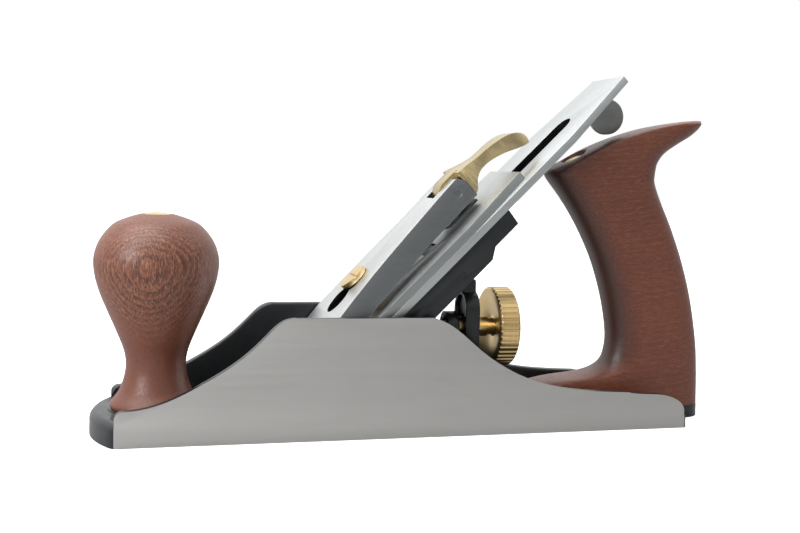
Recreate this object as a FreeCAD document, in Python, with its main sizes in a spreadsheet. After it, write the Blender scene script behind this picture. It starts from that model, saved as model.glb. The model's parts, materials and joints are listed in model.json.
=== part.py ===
import FreeCAD, Part

import math
import os

# A smoothing plane with a frog on an inclined seat, an iron bedded at 45 degrees and
# a lever cap clamped by a cam.  All lengths are millimetres.
#
# Three construction frames are used, each with its x axis leaning in the XZ plane:
#   sole frame  origin at the cutting edge on the sole, x towards the heel, z up
#   bed frame   the same origin, x up the iron, z square to the iron's upper face
#   ramp frame  origin at the front of the frog seat, x up the seat, z square to it
# The row frame has its origin on the sole, half way between toe and heel.

Vector = FreeCAD.Vector
Rotation = FreeCAD.Rotation
Placement = FreeCAD.Placement
ACROSS = Vector(0, 1, 0)
UP = Vector(0, 0, 1)

doc = FreeCAD.newDocument("hand_plane")
sheet = doc.addObject("Spreadsheet::Sheet", "Dimensions")

DRIVING = [
    # overall size of the body casting
    ("toe_reach", 67.0, "cutting edge to the tip of the toe"),
    ("heel_reach", 192.2, "cutting edge to the end of the tail under the tote"),
    ("body_width", 57.0, "width over the ground cheeks"),
    ("cheek_front", 58.4, "cutting edge to the front end of a cheek"),
    ("cheek_rear", 171.9, "cutting edge to the rear end of a cheek"),
    ("wing_height", 47.0, "height of the cheeks at the frog"),
    ("rim_height", 13.5, "height of the cheeks beside the knob"),
    ("heel_rim_height", 15.6, "height of the cheeks beside the tote"),
    ("wing_wall", 4.5, "thickness of a cheek"),
    ("wing_edge", 1.2, "rounding of the upper edges of a cheek"),
    ("sole_depth", 5.0, "thickness of the sole"),
    ("nose_height", 11.7, "height of the cheeks at their front ends"),
    ("toe_height", 9.1, "height of the toe in front of the knob"),
    ("nose_round", 3.4, "rounding of the toe's upper edge"),
    ("nose_bow", 7.2, "how far the toe bows out at its middle"),
    ("heel_bow", 5.0, "how far the heel bows out at its middle"),
    ("corner_cut", 1.3, "rounding of the four plan corners"),
    ("tail_radius", 10.6, "radius of the tail under the tote"),
    # mouth and frog seat
    ("mouth_front", 1.6, "cutting edge to the front of the mouth"),
    ("mouth_rear", 6.0, "cutting edge to the back of the mouth on the sole"),
    ("mouth_width", 47.0, "width of the mouth"),
    ("bed_angle", 45.0, "angle of the iron, degrees"),
    ("ramp_angle", 14.0, "angle of the frog seat, degrees"),
    ("ramp_x", 13.0, "cutting edge to the front of the frog seat"),
    ("ramp_z", 7.3, "height of the front of the frog seat"),
    ("ramp_length", 48.5, "length of the frog seat along its slope"),
    ("ramp_width", 39.0, "width of the frog seat"),
    ("seat_gap", 0.05, "play between the frog and its seat"),
    # frog
    ("frog_width", 42.0, "width of the frog"),
    ("frog_top", 129.5, "upper end of the frog, up the bed"),
    ("frog_plate", 10.1, "thickness of the frog's bed plate"),
    ("frog_lip", 7.1, "thickness of the bed plate at its upper end"),
    ("frog_web", 3.6, "thickness of the frog's side webs"),
    ("frog_foot", 5.0, "thickness of the frog's foot"),
    ("frog_rear", 50.5, "length of the frog's foot along the seat"),
    ("lug_radius", 6.4, "radius of the lug that holds the stud"),
    ("lug_front", 75.0, "cutting edge to the front of the lug"),
    ("lug_rear", 79.4, "cutting edge to the back of the lug"),
    # iron and cap iron
    ("iron_length", 204.8, "length of the iron"),
    ("iron_width", 44.45, "width of the iron"),
    ("iron_depth", 3.1, "thickness of the iron"),
    ("iron_gap", 0.05, "play between the iron and the frog"),
    ("iron_clip", 168.4, "where the iron's corners start to taper"),
    ("iron_top_width", 29.6, "width of the iron's upper end"),
    ("bevel_angle", 25.0, "grinding angle of the iron, degrees"),
    ("edge_rest", 0.15, "how far the edge is drawn up the bed at rest"),
    ("slot_width", 11.0, "width of the iron's slot"),
    ("slot_top", 180.2, "upper end of the iron's slot"),
    ("keyhole_s", 32.0, "centre of the round opening at the slot's foot"),
    ("keyhole_radius", 8.4, "radius of that opening"),
    ("cap_iron_top", 144.2, "upper end of the cap iron"),
    ("cap_iron_depth", 3.4, "thickness of the cap iron"),
    ("cap_iron_taper", 113.0, "where the cap iron starts to taper"),
    ("cap_iron_top_width", 34.4, "width of the cap iron's upper end"),
    ("cap_iron_hump", 7.2, "height of the bend at the cap iron's foot"),
    ("cap_screw_s", 46.0, "place of the cap iron screw, up the bed"),
    ("cap_screw_head", 7.4, "radius of the cap iron screw's head"),
    ("cap_screw_shank", 3.4, "radius of the cap iron screw's shank"),
    # lever cap, cam and spring
    ("lever_cap_foot", 6.0, "lower end of the lever cap, up the bed"),
    ("lever_cap_width", 44.0, "width of the lever cap's lower half"),
    ("lever_cap_top_width", 21.0, "width of the lever cap's upper end"),
    ("lever_cap_taper", 50.0, "where the lever cap starts to taper"),
    ("lever_cap_wall", 3.2, "thickness of the lever cap's walls"),
    ("lever_screw_s", 67.8, "place of the lever cap screw, up the bed"),
    ("lever_screw_head", 6.1, "radius of the lever cap screw's head"),
    ("lever_screw_shank", 3.0, "radius of the lever cap screw's shank"),
    ("lever_hole_s", 57.3, "centre of the large end of the keyhole"),
    ("lever_hole_radius", 6.5, "radius of the large end of the keyhole"),
    ("cam_pin_s", 121.0, "place of the cam pin, up the bed"),
    ("cam_pin_h", 13.6, "height of the cam pin over the iron"),
    ("cam_pin_radius", 1.5, "radius of the cam pin"),
    ("cam_radius", 7.0, "radius of the cam"),
    ("cam_offset", 0.9, "how far the cam's centre lies from its pin"),
    ("knuckle_radius", 5.6, "rounding of the lever cap's end about the cam pin"),
    ("knuckle_gap", 0.3, "play between that rounding and the cam lever"),
    ("cam_width", 9.6, "width of the cam between the cheeks"),
    ("spring_rivet_s", 89.0, "place of the spring's rivet, up the bed"),
    ("spring_depth", 0.8, "thickness of the flat spring"),
    ("spring_width", 14.0, "width of the flat spring"),
    ("spring_bed", 4.7, "height of the spring's free end over the iron"),
    # depth adjustment
    ("stud_z", 39.7, "height of the depth stud over the sole"),
    ("stud_radius", 2.3, "radius of the depth stud"),
    ("wheel_front", 94.2, "cutting edge to the front of the wheel's rim"),
    ("wheel_rim", 8.8, "width of the wheel's rim"),
    ("wheel_radius", 16.5, "radius of the wheel"),
    ("hub_radius", 4.2, "radius of the wheel's hub"),
    ("hub_groove", 2.9, "radius of the groove that the yoke rides in"),
    ("hub_front", 80.2, "cutting edge to the front of the hub"),
    ("groove_front", 83.0, "cutting edge to the front of the groove"),
    ("groove_width", 5.9, "width of the groove"),
    ("fork_depth", 4.2, "thickness of the yoke's fork in the groove"),
    ("yoke_s", 98.0, "place of the yoke's pivot, up the bed"),
    ("yoke_h", 9.0, "depth of the yoke's pivot below the iron's upper face"),
    ("yoke_pin_radius", 1.5, "radius of the yoke pin"),
    ("yoke_stem", 5.4, "width of the yoke's stem"),
    ("yoke_fork", 16.2, "width of the yoke's fork"),
    # lateral adjustment
    ("rivet_s", 120.0, "place of the lateral lever's rivet, up the bed"),
    ("rivet_radius", 2.0, "radius of the lateral lever's rivet"),
    ("roller_s", 112.0, "place of the roller, up the bed"),
    ("roller_radius", 5.3, "radius of the roller"),
    ("lateral_depth", 1.8, "thickness of the lateral lever"),
    ("lateral_width", 9.0, "width of the lateral lever"),
    ("thumb_s", 193.2, "centre of the lateral lever's thumb disc"),
    ("thumb_radius", 7.5, "radius of the thumb disc"),
    ("thumb_depth", 2.6, "thickness of the thumb disc"),
    # frog fixing and adjusting hardware
    ("pin_x", 30.0, "place of the frog pins, up the seat"),
    ("pin_spread", 24.0, "distance between the frog pins"),
    ("pin_radius", 3.6, "radius of the frog pins"),
    ("pin_reach", 8.2, "depth of the frog pins below the seat"),
    ("frog_travel", 1.6, "room for the frog pins along the seat"),
    ("lock_depth", 5.0, "depth of the lock screws' axes below the seat"),
    ("lock_radius", 2.6, "radius of the lock screws"),
    ("adjust_radius", 2.4, "radius of the frog adjusting screw"),
    ("adjust_head", 4.6, "radius of the adjusting screw's head"),
    ("plate_depth", 1.8, "thickness of the frog adjusting plate"),
    ("plate_width", 10.0, "width of the frog adjusting plate"),
    # knob
    ("knob_x", 42.0, "cutting edge forward to the knob's axis"),
    ("knob_seat", 9.5, "height of the knob's seat"),
    ("knob_top", 84.7, "height of the knob's top"),
    ("knob_radius", 23.75, "largest radius of the knob"),
    ("knob_neck", 11.4, "radius of the knob's neck"),
    ("knob_foot", 17.3, "radius of the knob's foot"),
    ("nut_radius", 5.6, "radius of the knob and tote nuts"),
    ("nut_depth", 4.0, "thickness of the nut heads"),
    ("rod_radius", 2.9, "radius of the knob and tote rods"),
    # tote
    ("tote_width", 21.0, "thickness of the tote"),
    ("tote_nose", 9.5, "length of the rounding at the tote's front and back"),
    ("tote_rod_back", 61.2, "heel's end forward to the tote rod where it enters the nut"),
    ("tote_rod_z", 111.2, "height of that point"),
    ("tote_rod_lean", 23.0, "lean of the tote rod, degrees"),
    # shared play
    ("bore_play", 0.05, "radial play of a turning or sliding fit"),
    ("loose_play", 0.4, "play of a loose hole"),
]

for row, (alias, value, meaning) in enumerate(DRIVING, start=1):
    sheet.set(f"A{row}", meaning)
    sheet.set(f"B{row}", str(value))
    sheet.setAlias(f"B{row}", alias)
doc.recompute()


def size(alias):
    """The value of one driving dimension."""
    return float(sheet.get(alias))


def bound(thing, **expressions):
    """Tie properties of a document object to the sheet, then give the object back."""
    for name, expression in expressions.items():
        words = [
            f"Dimensions.{word}" if word in ALIASES else word
            for word in expression.split()
        ]
        thing.setExpression(name, " ".join(words))
    return thing


ALIASES = {alias for alias, value, meaning in DRIVING}
MOUTH_X = (size("toe_reach") - size("heel_reach")) / 2
SOLE = Placement(Vector(MOUTH_X, 0, 0), Rotation())
BED = Placement(Vector(MOUTH_X, 0, 0), Rotation(ACROSS, -size("bed_angle")))
RAMP_IN_SOLE = Placement(
    Vector(size("ramp_x"), 0, size("ramp_z")), Rotation(ACROSS, -size("ramp_angle"))
)
BED_IN_SOLE = Placement(Vector(), Rotation(ACROSS, -size("bed_angle")))
RAMP = SOLE.multiply(RAMP_IN_SOLE)
HALF_BODY = size("body_width") / 2
IRON_UNDER = -size("iron_depth")
FROG_FACE = IRON_UNDER - size("iron_gap")


# ---------------------------------------------------------------- helpers


def origin_plane(body, role):
    """One of a body's own origin planes."""
    return next(f for f in body.Origin.OriginFeatures if f.Role == role)


def loop(sketch, steps):
    """Add a closed outline.  A step is a point, or a list: points that a curve passes."""
    ends = [step if isinstance(step, tuple) else step[-1] for step in steps]
    for number, step in enumerate(steps):
        start = Vector(*ends[number - 1], 0)
        if isinstance(step, tuple):
            sketch.addGeometry(Part.LineSegment(start, Vector(*step, 0)), False)
        else:
            curve = Part.BSplineCurve()
            curve.interpolate([start] + [Vector(*point, 0) for point in step])
            sketch.addGeometry(curve, False)


def new_sketch(body, name, plane, steps):
    """A sketch of one closed outline on a body's own origin plane."""
    sketch = body.newObject("Sketcher::SketchObject", name)
    sketch.AttachmentSupport = [(origin_plane(body, plane), "")]
    sketch.MapMode = "FlatFace"
    loop(sketch, steps)
    return sketch


def side_pad(name, steps, width):
    """An outline in x and z, padded evenly to both sides of the middle plane."""
    body = doc.addObject("PartDesign::Body", name)
    sketch = new_sketch(body, name + "_outline", "XZ_Plane", steps)
    pad = body.newObject("PartDesign::Pad", name + "_pad")
    pad.Profile = sketch
    pad.Midplane = True
    bound(pad, Length=width)
    return body


def plan_pad(name, steps, height, lift=0.0):
    """An outline in x and y, padded upwards."""
    body = doc.addObject("PartDesign::Body", name)
    sketch = new_sketch(body, name + "_outline", "XY_Plane", steps)
    pad = body.newObject("PartDesign::Pad", name + "_pad")
    pad.Profile = sketch
    bound(pad, Length=height)
    body.Placement = Placement(Vector(0, 0, lift), Rotation())
    return body


def turned(name, steps):
    """An outline in radius and height, revolved about the body's z axis."""
    body = doc.addObject("PartDesign::Body", name)
    sketch = new_sketch(body, name + "_outline", "XZ_Plane", steps)
    spun = body.newObject("PartDesign::Revolution", name + "_turned")
    spun.Profile = sketch
    spun.ReferenceAxis = (sketch, ["V_Axis"])
    spun.Angle = 360
    return body


def rod(name, radius, length, start, direction=UP):
    """A cylinder from a point along a direction."""
    thing = doc.addObject("Part::Cylinder", name)
    bound(thing, Radius=radius, Height=length)
    thing.Placement = Placement(Vector(*start), Rotation(UP, Vector(*direction)))
    return thing


def block(name, length, width, height, corner):
    """A box centred across the plane, from its low x and z corner."""
    thing = doc.addObject("Part::Box", name)
    bound(thing, Length=length, Width=width, Height=height)
    doc.recompute()
    middle = thing.Width.Value / 2
    thing.Placement = Placement(Vector(corner[0], -middle, corner[1]), Rotation())
    return thing


def moved(thing, frame):
    """Carry a construction object from one frame into another."""
    thing.Placement = frame.multiply(thing.Placement)
    return thing


def shifted(thing, x=0.0, y=0.0, z=0.0):
    """Move a construction object."""
    return moved(thing, Placement(Vector(x, y, z), Rotation()))


def fused(name, things):
    """The union of several objects."""
    union = doc.addObject("Part::MultiFuse", name)
    union.Shapes = things
    union.Refine = True
    return union


def cut(name, base, tools):
    """A solid with one or more tools taken away."""
    result = doc.addObject("Part::Cut", name)
    result.Base = base
    result.Tool = tools[0] if len(tools) == 1 else fused(name + "_tools", tools)
    result.Refine = True
    return result


def common(name, base, tool):
    """What two solids share."""
    result = doc.addObject("Part::Common", name)
    result.Base = base
    result.Tool = tool
    return result


def rounded(name, base, radius, wanted):
    """A solid with the edges that pass a test rounded."""
    doc.recompute()
    result = doc.addObject("Part::Fillet", name)
    result.Base = base
    result.Edges = [
        (number, radius, radius)
        for number, edge in enumerate(base.Shape.Edges, start=1)
        if wanted(edge)
    ]
    return result


PIECES = []


def piece(thing, label, frame):
    """Name a finished sub-part and put it in the row frame."""
    thing.Label = label
    thing.Placement = frame.multiply(thing.Placement)
    PIECES.append(thing)
    return thing


# ---------------------------------------------------------------- body casting


def toe_outline(back):
    """Plan outline of the toe, closed by a straight edge at x = back."""
    side = HALF_BODY
    corner = size("corner_cut")
    front = -size("cheek_front")
    tip = -size("toe_reach")
    bow = size("nose_bow")
    near = (side - corner, tip + bow)
    bend = (0.5 * side, tip + 0.26 * bow)
    return [
        (back, side),
        (front, side),
        [(front - 0.35 * corner, side - 0.3 * corner), (near[1], near[0])],
        [(bend[1], bend[0]), (tip, 0.0), (bend[1], -bend[0]), (near[1], -near[0])],
        [(front - 0.35 * corner, -side + 0.3 * corner), (front, -side)],
        (back, -side),
    ]


def build_sole():
    """The flat sole with its bowed toe and heel."""
    side = HALF_BODY
    corner = size("corner_cut")
    rear = size("cheek_rear")
    bow = size("heel_bow")
    heel = [
        (rear, -side),
        [(rear + 0.7 * corner, -side + 0.3 * corner), (rear + corner, -side + corner)],
        [(rear + 0.8 * bow, -0.5 * side), (rear + bow, 0.0), (rear + 0.8 * bow, 0.5 * side),
         (rear + corner, side - corner)],
        [(rear + 0.7 * corner, side - 0.3 * corner), (rear, side)],
    ]
    return plan_pad("sole_slab", toe_outline(0.0)[1:-1] + heel, "sole_depth")


def build_toe():
    """The thick toe in front of the knob, rounded along its upper edge."""
    height = size("toe_height")
    front = -size("cheek_front")
    toe = plan_pad("toe_block", toe_outline(front + 0.8), "toe_height")
    return rounded(
        "toe_rounded",
        toe,
        size("nose_round"),
        lambda edge: abs(edge.BoundBox.ZMin - height) < 0.01
        and edge.BoundBox.XMax < front - 0.3 * size("corner_cut"),
    )


def wing_outline():
    """Side outline of a cheek: low rims, and a hump beside the frog."""
    low = size("rim_height")
    tall = size("wing_height")
    tail = size("heel_rim_height")
    front = -size("cheek_front")
    rear = size("cheek_rear")
    rise = tall - low
    fall = tall - tail
    return [
        (front, 0.0),
        (front, size("nose_height") - 0.6),
        [(front + 0.9, low - 0.9), (front + 3.4, low)],
        [(-42.0, low + 0.07 * rise), (-27.5, low + 0.27 * rise), (-13.0, low + 0.54 * rise),
         (-3.0, low + 0.81 * rise), (3.2, low + 0.97 * rise), (9.0, tall)],
        (61.5, tall),
        [(67.5, tail + 0.93 * fall), (81.0, tail + 0.60 * fall), (93.9, tail + 0.33 * fall),
         (109.0, tail + 0.135 * fall), (126.0, tail + 0.04 * fall), (146.0, tail)],
        [(rear - 12.0, tail - 1.3), (rear - 5.0, tail - 3.0), (rear - 1.2, tail - 5.6),
         (rear, tail - 8.6)],
        (rear, 0.0),
    ]


def build_wings():
    """Both cheeks, with their upper edges rounded."""
    plates = side_pad("wing_plates", wing_outline(), "body_width")
    trough = block(
        "wing_trough",
        "cheek_front + cheek_rear + 20",
        "body_width - 2 * wing_wall",
        "wing_height + 20",
        (-size("cheek_front") - 10, -10),
    )
    cheeks = cut("cheeks", plates, [trough])
    inner = HALF_BODY - size("wing_wall")
    low = size("nose_height")
    return rounded(
        "cheeks_rounded",
        cheeks,
        size("wing_edge"),
        lambda edge: edge.BoundBox.ZMax > low
        and edge.BoundBox.YLength < 0.01
        and abs(abs(edge.BoundBox.YMin) - inner) < 0.01,
    )


def build_seat():
    """The inclined seat for the frog, standing on the sole."""
    slope = math.tan(math.radians(size("ramp_angle")))
    length = size("ramp_length") * math.cos(math.radians(size("ramp_angle")))
    x0 = size("ramp_x")
    z0 = size("ramp_z")
    outline = [
        (x0, 1.0),
        (x0, z0),
        (x0 + length, z0 + length * slope),
        (x0 + length, 1.0),
    ]
    return side_pad("frog_seat", outline, "ramp_width")


def build_body():
    """The main casting, in the sole frame."""
    boss = rod("knob_boss", "knob_foot + 0.9", "knob_seat", (-size("knob_x"), 0, 0))
    tail_x = size("heel_reach") - size("tail_radius")
    tail = rod("tail_round", "tail_radius", "sole_depth", (tail_x, 0, 0))
    tail_neck = block(
        "tail_neck",
        "heel_reach - tail_radius - cheek_rear + 10",
        "2 * tail_radius",
        "sole_depth",
        (size("cheek_rear") - 10, 0),
    )
    casting = fused(
        "casting",
        [build_sole(), build_toe(), build_wings(), build_seat(), boss, tail, tail_neck],
    )

    high = size("sole_depth") + 1
    mouth = side_pad(
        "mouth",
        [
            (-size("mouth_front"), -1.0),
            (size("mouth_rear") - 1.0, -1.0),
            (size("mouth_rear") + high, high),
            (-size("mouth_front"), high),
        ],
        "mouth_width",
    )
    knob_recess = rod(
        "knob_recess", "knob_foot + 0.9", "nose_height", (-size("knob_x"), 0, size("knob_seat"))
    )
    knob_hole = rod("knob_hole", "rod_radius", "knob_seat - 1.5", (-size("knob_x"), 0, 1.5))
    lean = math.radians(size("tote_rod_lean"))
    foot_x = size("heel_reach") - size("tote_rod_back") + (size("tote_rod_z") - 1.5) * math.tan(lean)
    tote_hole = rod(
        "tote_hole", "rod_radius", "12", (foot_x, 0, 1.5), (-math.sin(lean), 0, math.cos(lean))
    )
    tools = [mouth, knob_recess, knob_hole, tote_hole]

    for side in (-1, 1):
        y = side * size("pin_spread") / 2
        room = size("frog_travel")
        slot = fused(
            f"pin_slot_{side}",
            [
                rod(f"pin_room_{side}_{end}", "pin_radius + loose_play", "pin_reach + 4",
                    (size("pin_x") + end * room, y, -size("pin_reach") - 1))
                for end in (-1, 0, 1)
            ],
        )
        lock = rod(
            f"lock_hole_{side}", "lock_radius", "ramp_length",
            (size("pin_x"), y, -size("lock_depth")), (1, 0, 0),
        )
        tools += [moved(slot, RAMP_IN_SOLE), moved(lock, RAMP_IN_SOLE)]
    adjust = rod(
        "adjust_hole", "adjust_radius + bore_play", "ramp_length - 24",
        (26, 0, -size("lock_depth")), (1, 0, 0),
    )
    tools.append(moved(adjust, RAMP_IN_SOLE))
    piece(cut("plane_body", casting, tools), "plane_body", SOLE)


# ---------------------------------------------------------------- frog


def bed_point(s, h):
    """A point of the bed frame as x and z of the sole frame."""
    point = BED_IN_SOLE.multVec(Vector(s, 0, h))
    return (point.x, point.z)


def ramp_point(x, z):
    """A point of the ramp frame as x and z of the sole frame."""
    point = RAMP_IN_SOLE.multVec(Vector(x, 0, z))
    return (point.x, point.z)


def crossing(h, z):
    """Where a plane at height h over the bed meets one at height z over the seat."""
    between = math.radians(size("bed_angle") - size("ramp_angle"))
    lean = math.radians(size("ramp_angle"))
    level = size("ramp_z") * math.cos(lean) - size("ramp_x") * math.sin(lean)
    return (z + level - h * math.cos(between)) / math.sin(between)


def build_frog():
    """The frog: a bed plate on a webbed foot, with the lug for the depth stud."""
    foot_s = crossing(FROG_FACE, size("seat_gap"))
    under = FROG_FACE - size("frog_plate")
    lip = FROG_FACE - size("frog_lip")
    top = size("frog_top")
    gap = size("seat_gap")
    rear = size("frog_rear")
    plate_back = bed_point(0, under)
    drop = plate_back[1] - plate_back[0]
    toe_x, toe_z = ramp_point(rear, gap)
    lean = math.radians(size("ramp_angle"))
    # length of the rear face, from the foot up to the underside of the bed plate
    reach = (toe_x + drop - toe_z) / (math.cos(lean) + math.sin(lean))
    rear_top = (toe_x - reach * math.sin(lean), toe_z + reach * math.cos(lean))
    profile = [
        bed_point(foot_s, FROG_FACE),
        bed_point(top, FROG_FACE),
        bed_point(top - 0.8, lip),
        bed_point(115.5, lip),
        bed_point(111.0, under),
        rear_top,
        (toe_x, toe_z),
    ]
    solid = side_pad("frog_solid", profile, "frog_width")

    lug = rod("stud_lug", "lug_radius", "lug_rear - lug_front",
              (size("lug_front"), 0, size("stud_z")), (1, 0, 0))
    low = size("stud_z") - size("lug_radius")
    rib = side_pad(
        "stud_rib",
        [
            (52.0, 30.0),
            (60.0, size("stud_z") + 1.0),
            (size("lug_rear") - 1.0, size("stud_z") + 1.0),
            (size("lug_rear") - 1.0, low + 1.0),
            ramp_point(rear - 1.0, 14.0),
            ramp_point(rear - 12.0, 14.0),
        ],
        "8",
    )
    body = fused("frog_blank", [solid, lug, rib])

    tools = []
    pocket_width = (size("frog_width") - 8) / 2 - size("frog_web")
    floor = gap + size("frog_foot")
    for side in (-1, 1):
        pocket = side_pad(
            f"frog_pocket_{side}",
            [
                bed_point(crossing(under - 1.2, floor), under - 1.2),
                ramp_point(rear + 10.0, floor),
                bed_point((rear_top[0] + rear_top[1]) / math.sqrt(2) + 8.0, under - 1.2),
            ],
            "frog_width / 2 - 4 - frog_web",
        )
        tools.append(shifted(pocket, y=side * (4 + pocket_width / 2)))
        pin = rod(f"frog_pin_hole_{side}", "pin_radius", "frog_foot + 8",
                  (size("pin_x"), side * size("pin_spread") / 2, -5))
        tools.append(moved(pin, RAMP_IN_SOLE))
    yoke_slot = block("yoke_slot", "18", "yoke_stem + 2 * loose_play", "30",
                      (size("yoke_s") - 8, FROG_FACE - 25))
    screw_room = block("screw_room", "2 * cap_screw_head + 5", "2 * cap_screw_head + 3", "8",
                       (size("cap_screw_s") - size("cap_screw_head") - 3, FROG_FACE - 4.6))
    lateral_room = block("lateral_room", "40", "lateral_width + 6", "8",
                         (size("roller_s") - 6.5, FROG_FACE - size("lateral_depth") - 0.7))
    screw_hole = rod("lever_screw_hole", "lever_screw_shank", "17",
                     (size("lever_screw_s"), 0, FROG_FACE - 16))
    rivet_hole = rod("rivet_hole", "rivet_radius", "14", (size("rivet_s"), 0, FROG_FACE - 8))
    pin_hole = rod("yoke_pin_hole", "yoke_pin_radius", "frog_width + 2",
                   (size("yoke_s"), -size("frog_width") / 2 - 1, -size("yoke_h")), (0, 1, 0))
    for tool in (yoke_slot, screw_room, lateral_room, screw_hole, rivet_hole, pin_hole):
        tools.append(moved(tool, BED_IN_SOLE))
    stud_hole = rod("stud_hole", "stud_radius + bore_play", "30",
                    (size("lug_front") - 12, 0, size("stud_z")), (1, 0, 0))
    plate_hole = rod("plate_screw_hole", "1.6", "8", (rear - 6, 0, 7.0), (1, 0, 0))
    tools += [stud_hole, moved(plate_hole, RAMP_IN_SOLE)]
    piece(cut("frog", body, tools), "frog", SOLE)


def build_frog_fixings():
    """Pins, lock screws, adjusting screw and its plate, in the ramp frame."""
    half = size("pin_spread") / 2
    reach = size("pin_reach")
    pins = []
    locks = []
    axis = -size("lock_depth")
    for side in (-1, 1):
        shank = rod(f"pin_shank_{side}", "pin_radius", "pin_reach + 6.5",
                    (size("pin_x"), side * half, -reach))
        dimple = doc.addObject("Part::Cone", f"pin_dimple_{side}")
        bound(dimple, Radius1="0.4", Radius2="2.4", Height="2.4")
        dimple.Placement = Placement(
            Vector(size("pin_x") + size("pin_radius") - 2.0, side * half, axis),
            Rotation(UP, Vector(1, 0, 0)),
        )
        pins.append(cut(f"pin_{side}", shank, [dimple]))
        rear = size("ramp_length") + 1.5
        start = size("pin_x") + size("pin_radius") + 1.9
        screw = rod(f"lock_shank_{side}", "lock_radius", f"{rear - start}",
                    (start, side * half, axis), (1, 0, 0))
        point = doc.addObject("Part::Cone", f"lock_point_{side}")
        bound(point, Radius1="0.5", Radius2="2.0", Height="1.9")
        point.Placement = Placement(
            Vector(start - 1.9, side * half, axis), Rotation(UP, Vector(1, 0, 0))
        )
        slot = block(f"lock_slot_{side}", "1.4", "8", "0.9", (rear - 1.2, axis - 0.45))
        locks.append(cut(f"lock_{side}", fused(f"lock_body_{side}", [screw, point]),
                         [shifted(slot, y=side * half)]))
    piece(fused("frog_pins", pins), "frog_pins", RAMP)
    piece(fused("frog_lock_screws", locks), "frog_lock_screws", RAMP)

    rear = size("frog_rear")
    plate = block("plate_blank", "plate_depth", "plate_width", "lock_depth + 14",
                  (rear, axis - 2.5))
    fork = block("plate_fork", "plate_depth + 2", "3.9", "6", (rear - 1, axis - 4.0))
    fork_top = rod("plate_fork_top", "1.95", "plate_depth + 2", (rear - 1, 0, axis + 2.0),
                   (1, 0, 0))
    hole = rod("plate_hole", "1.7", "plate_depth + 2", (rear - 1, 0, 7.0), (1, 0, 0))
    piece(cut("frog_plate", plate, [fork, fork_top, hole]), "frog_plate", RAMP)

    depth = size("plate_depth")
    shank = rod("plate_screw_shank", "1.6", "5 + plate_depth", (rear - 5, 0, 7.0), (1, 0, 0))
    head = rod("plate_screw_head", "3.2", "2.0", (rear + depth, 0, 7.0), (1, 0, 0))
    slot = block("plate_screw_slot", "1.2", "8", "0.8", (rear + depth + 1.2, 6.6))
    piece(cut("frog_plate_screw", fused("plate_screw_blank", [shank, head]), [slot]),
          "frog_plate_screw", RAMP)

    play = 0.25
    shank = rod("adjust_shank", "adjust_radius", f"{rear - 1.2 - 29.0}", (29.0, 0, axis),
                (1, 0, 0))
    collar = rod("adjust_collar", "adjust_radius", "1.2 - 0.25", (rear - 1.2, 0, axis), (1, 0, 0))
    neck = rod("adjust_neck", "1.7", "plate_depth + 0.6", (rear - 0.3, 0, axis), (1, 0, 0))
    head = rod("adjust_head_disc", "adjust_head", "3.6", (rear + depth + play, 0, axis),
               (1, 0, 0))
    slot = block("adjust_slot", "2.0", "12", "1.1", (rear + depth + play + 2.4, axis - 0.55))
    piece(cut("frog_adjusting_screw", fused("adjust_blank", [shank, collar, neck, head]), [slot]),
          "frog_adjusting_screw", RAMP)


# ---------------------------------------------------------------- iron


def slot_tool(name, start, end, width, depth, lift):
    """A round-ended slot along the bed."""
    middle = block(name + "_middle", f"{end - start}", width, depth, (start, lift))
    ends = [
        rod(f"{name}_end_{number}", f"{width} / 2", depth, (s, 0, lift))
        for number, s in enumerate((start, end))
    ]
    return fused(name, [middle] + ends)


def build_iron():
    """The iron, bevel down, with its slot and the keyhole at the slot's foot."""
    deep = size("iron_depth")
    edge = size("edge_rest")
    bevel = deep / math.tan(math.radians(size("bevel_angle")))
    side = size("iron_width") / 2
    narrow = size("iron_top_width") / 2
    blank = plan_pad(
        "iron_blank",
        [
            (edge, side), (edge, -side), (size("iron_clip"), -side),
            (size("iron_length"), -narrow), (size("iron_length"), narrow),
            (size("iron_clip"), side),
        ],
        "iron_depth",
        -deep,
    )
    ground = side_pad(
        "iron_bevel",
        [(edge - 1.0, 0.0 - math.tan(math.radians(size("bevel_angle"))) * -1.0),
         (edge - 1.0, -deep - 1.0),
         (edge + bevel + 1.0 / math.tan(math.radians(size("bevel_angle"))), -deep - 1.0)],
        "iron_width + 2",
    )
    half = size("slot_width") / 2
    slot = slot_tool("iron_slot", size("keyhole_s"), size("slot_top") - half, "slot_width",
                     "iron_depth + 2", -deep - 1)
    keyhole = rod("iron_keyhole", "keyhole_radius", "iron_depth + 2",
                  (size("keyhole_s"), 0, -deep - 1))
    piece(cut("plane_iron", blank, [ground, slot, keyhole]), "plane_iron", BED)


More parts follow.
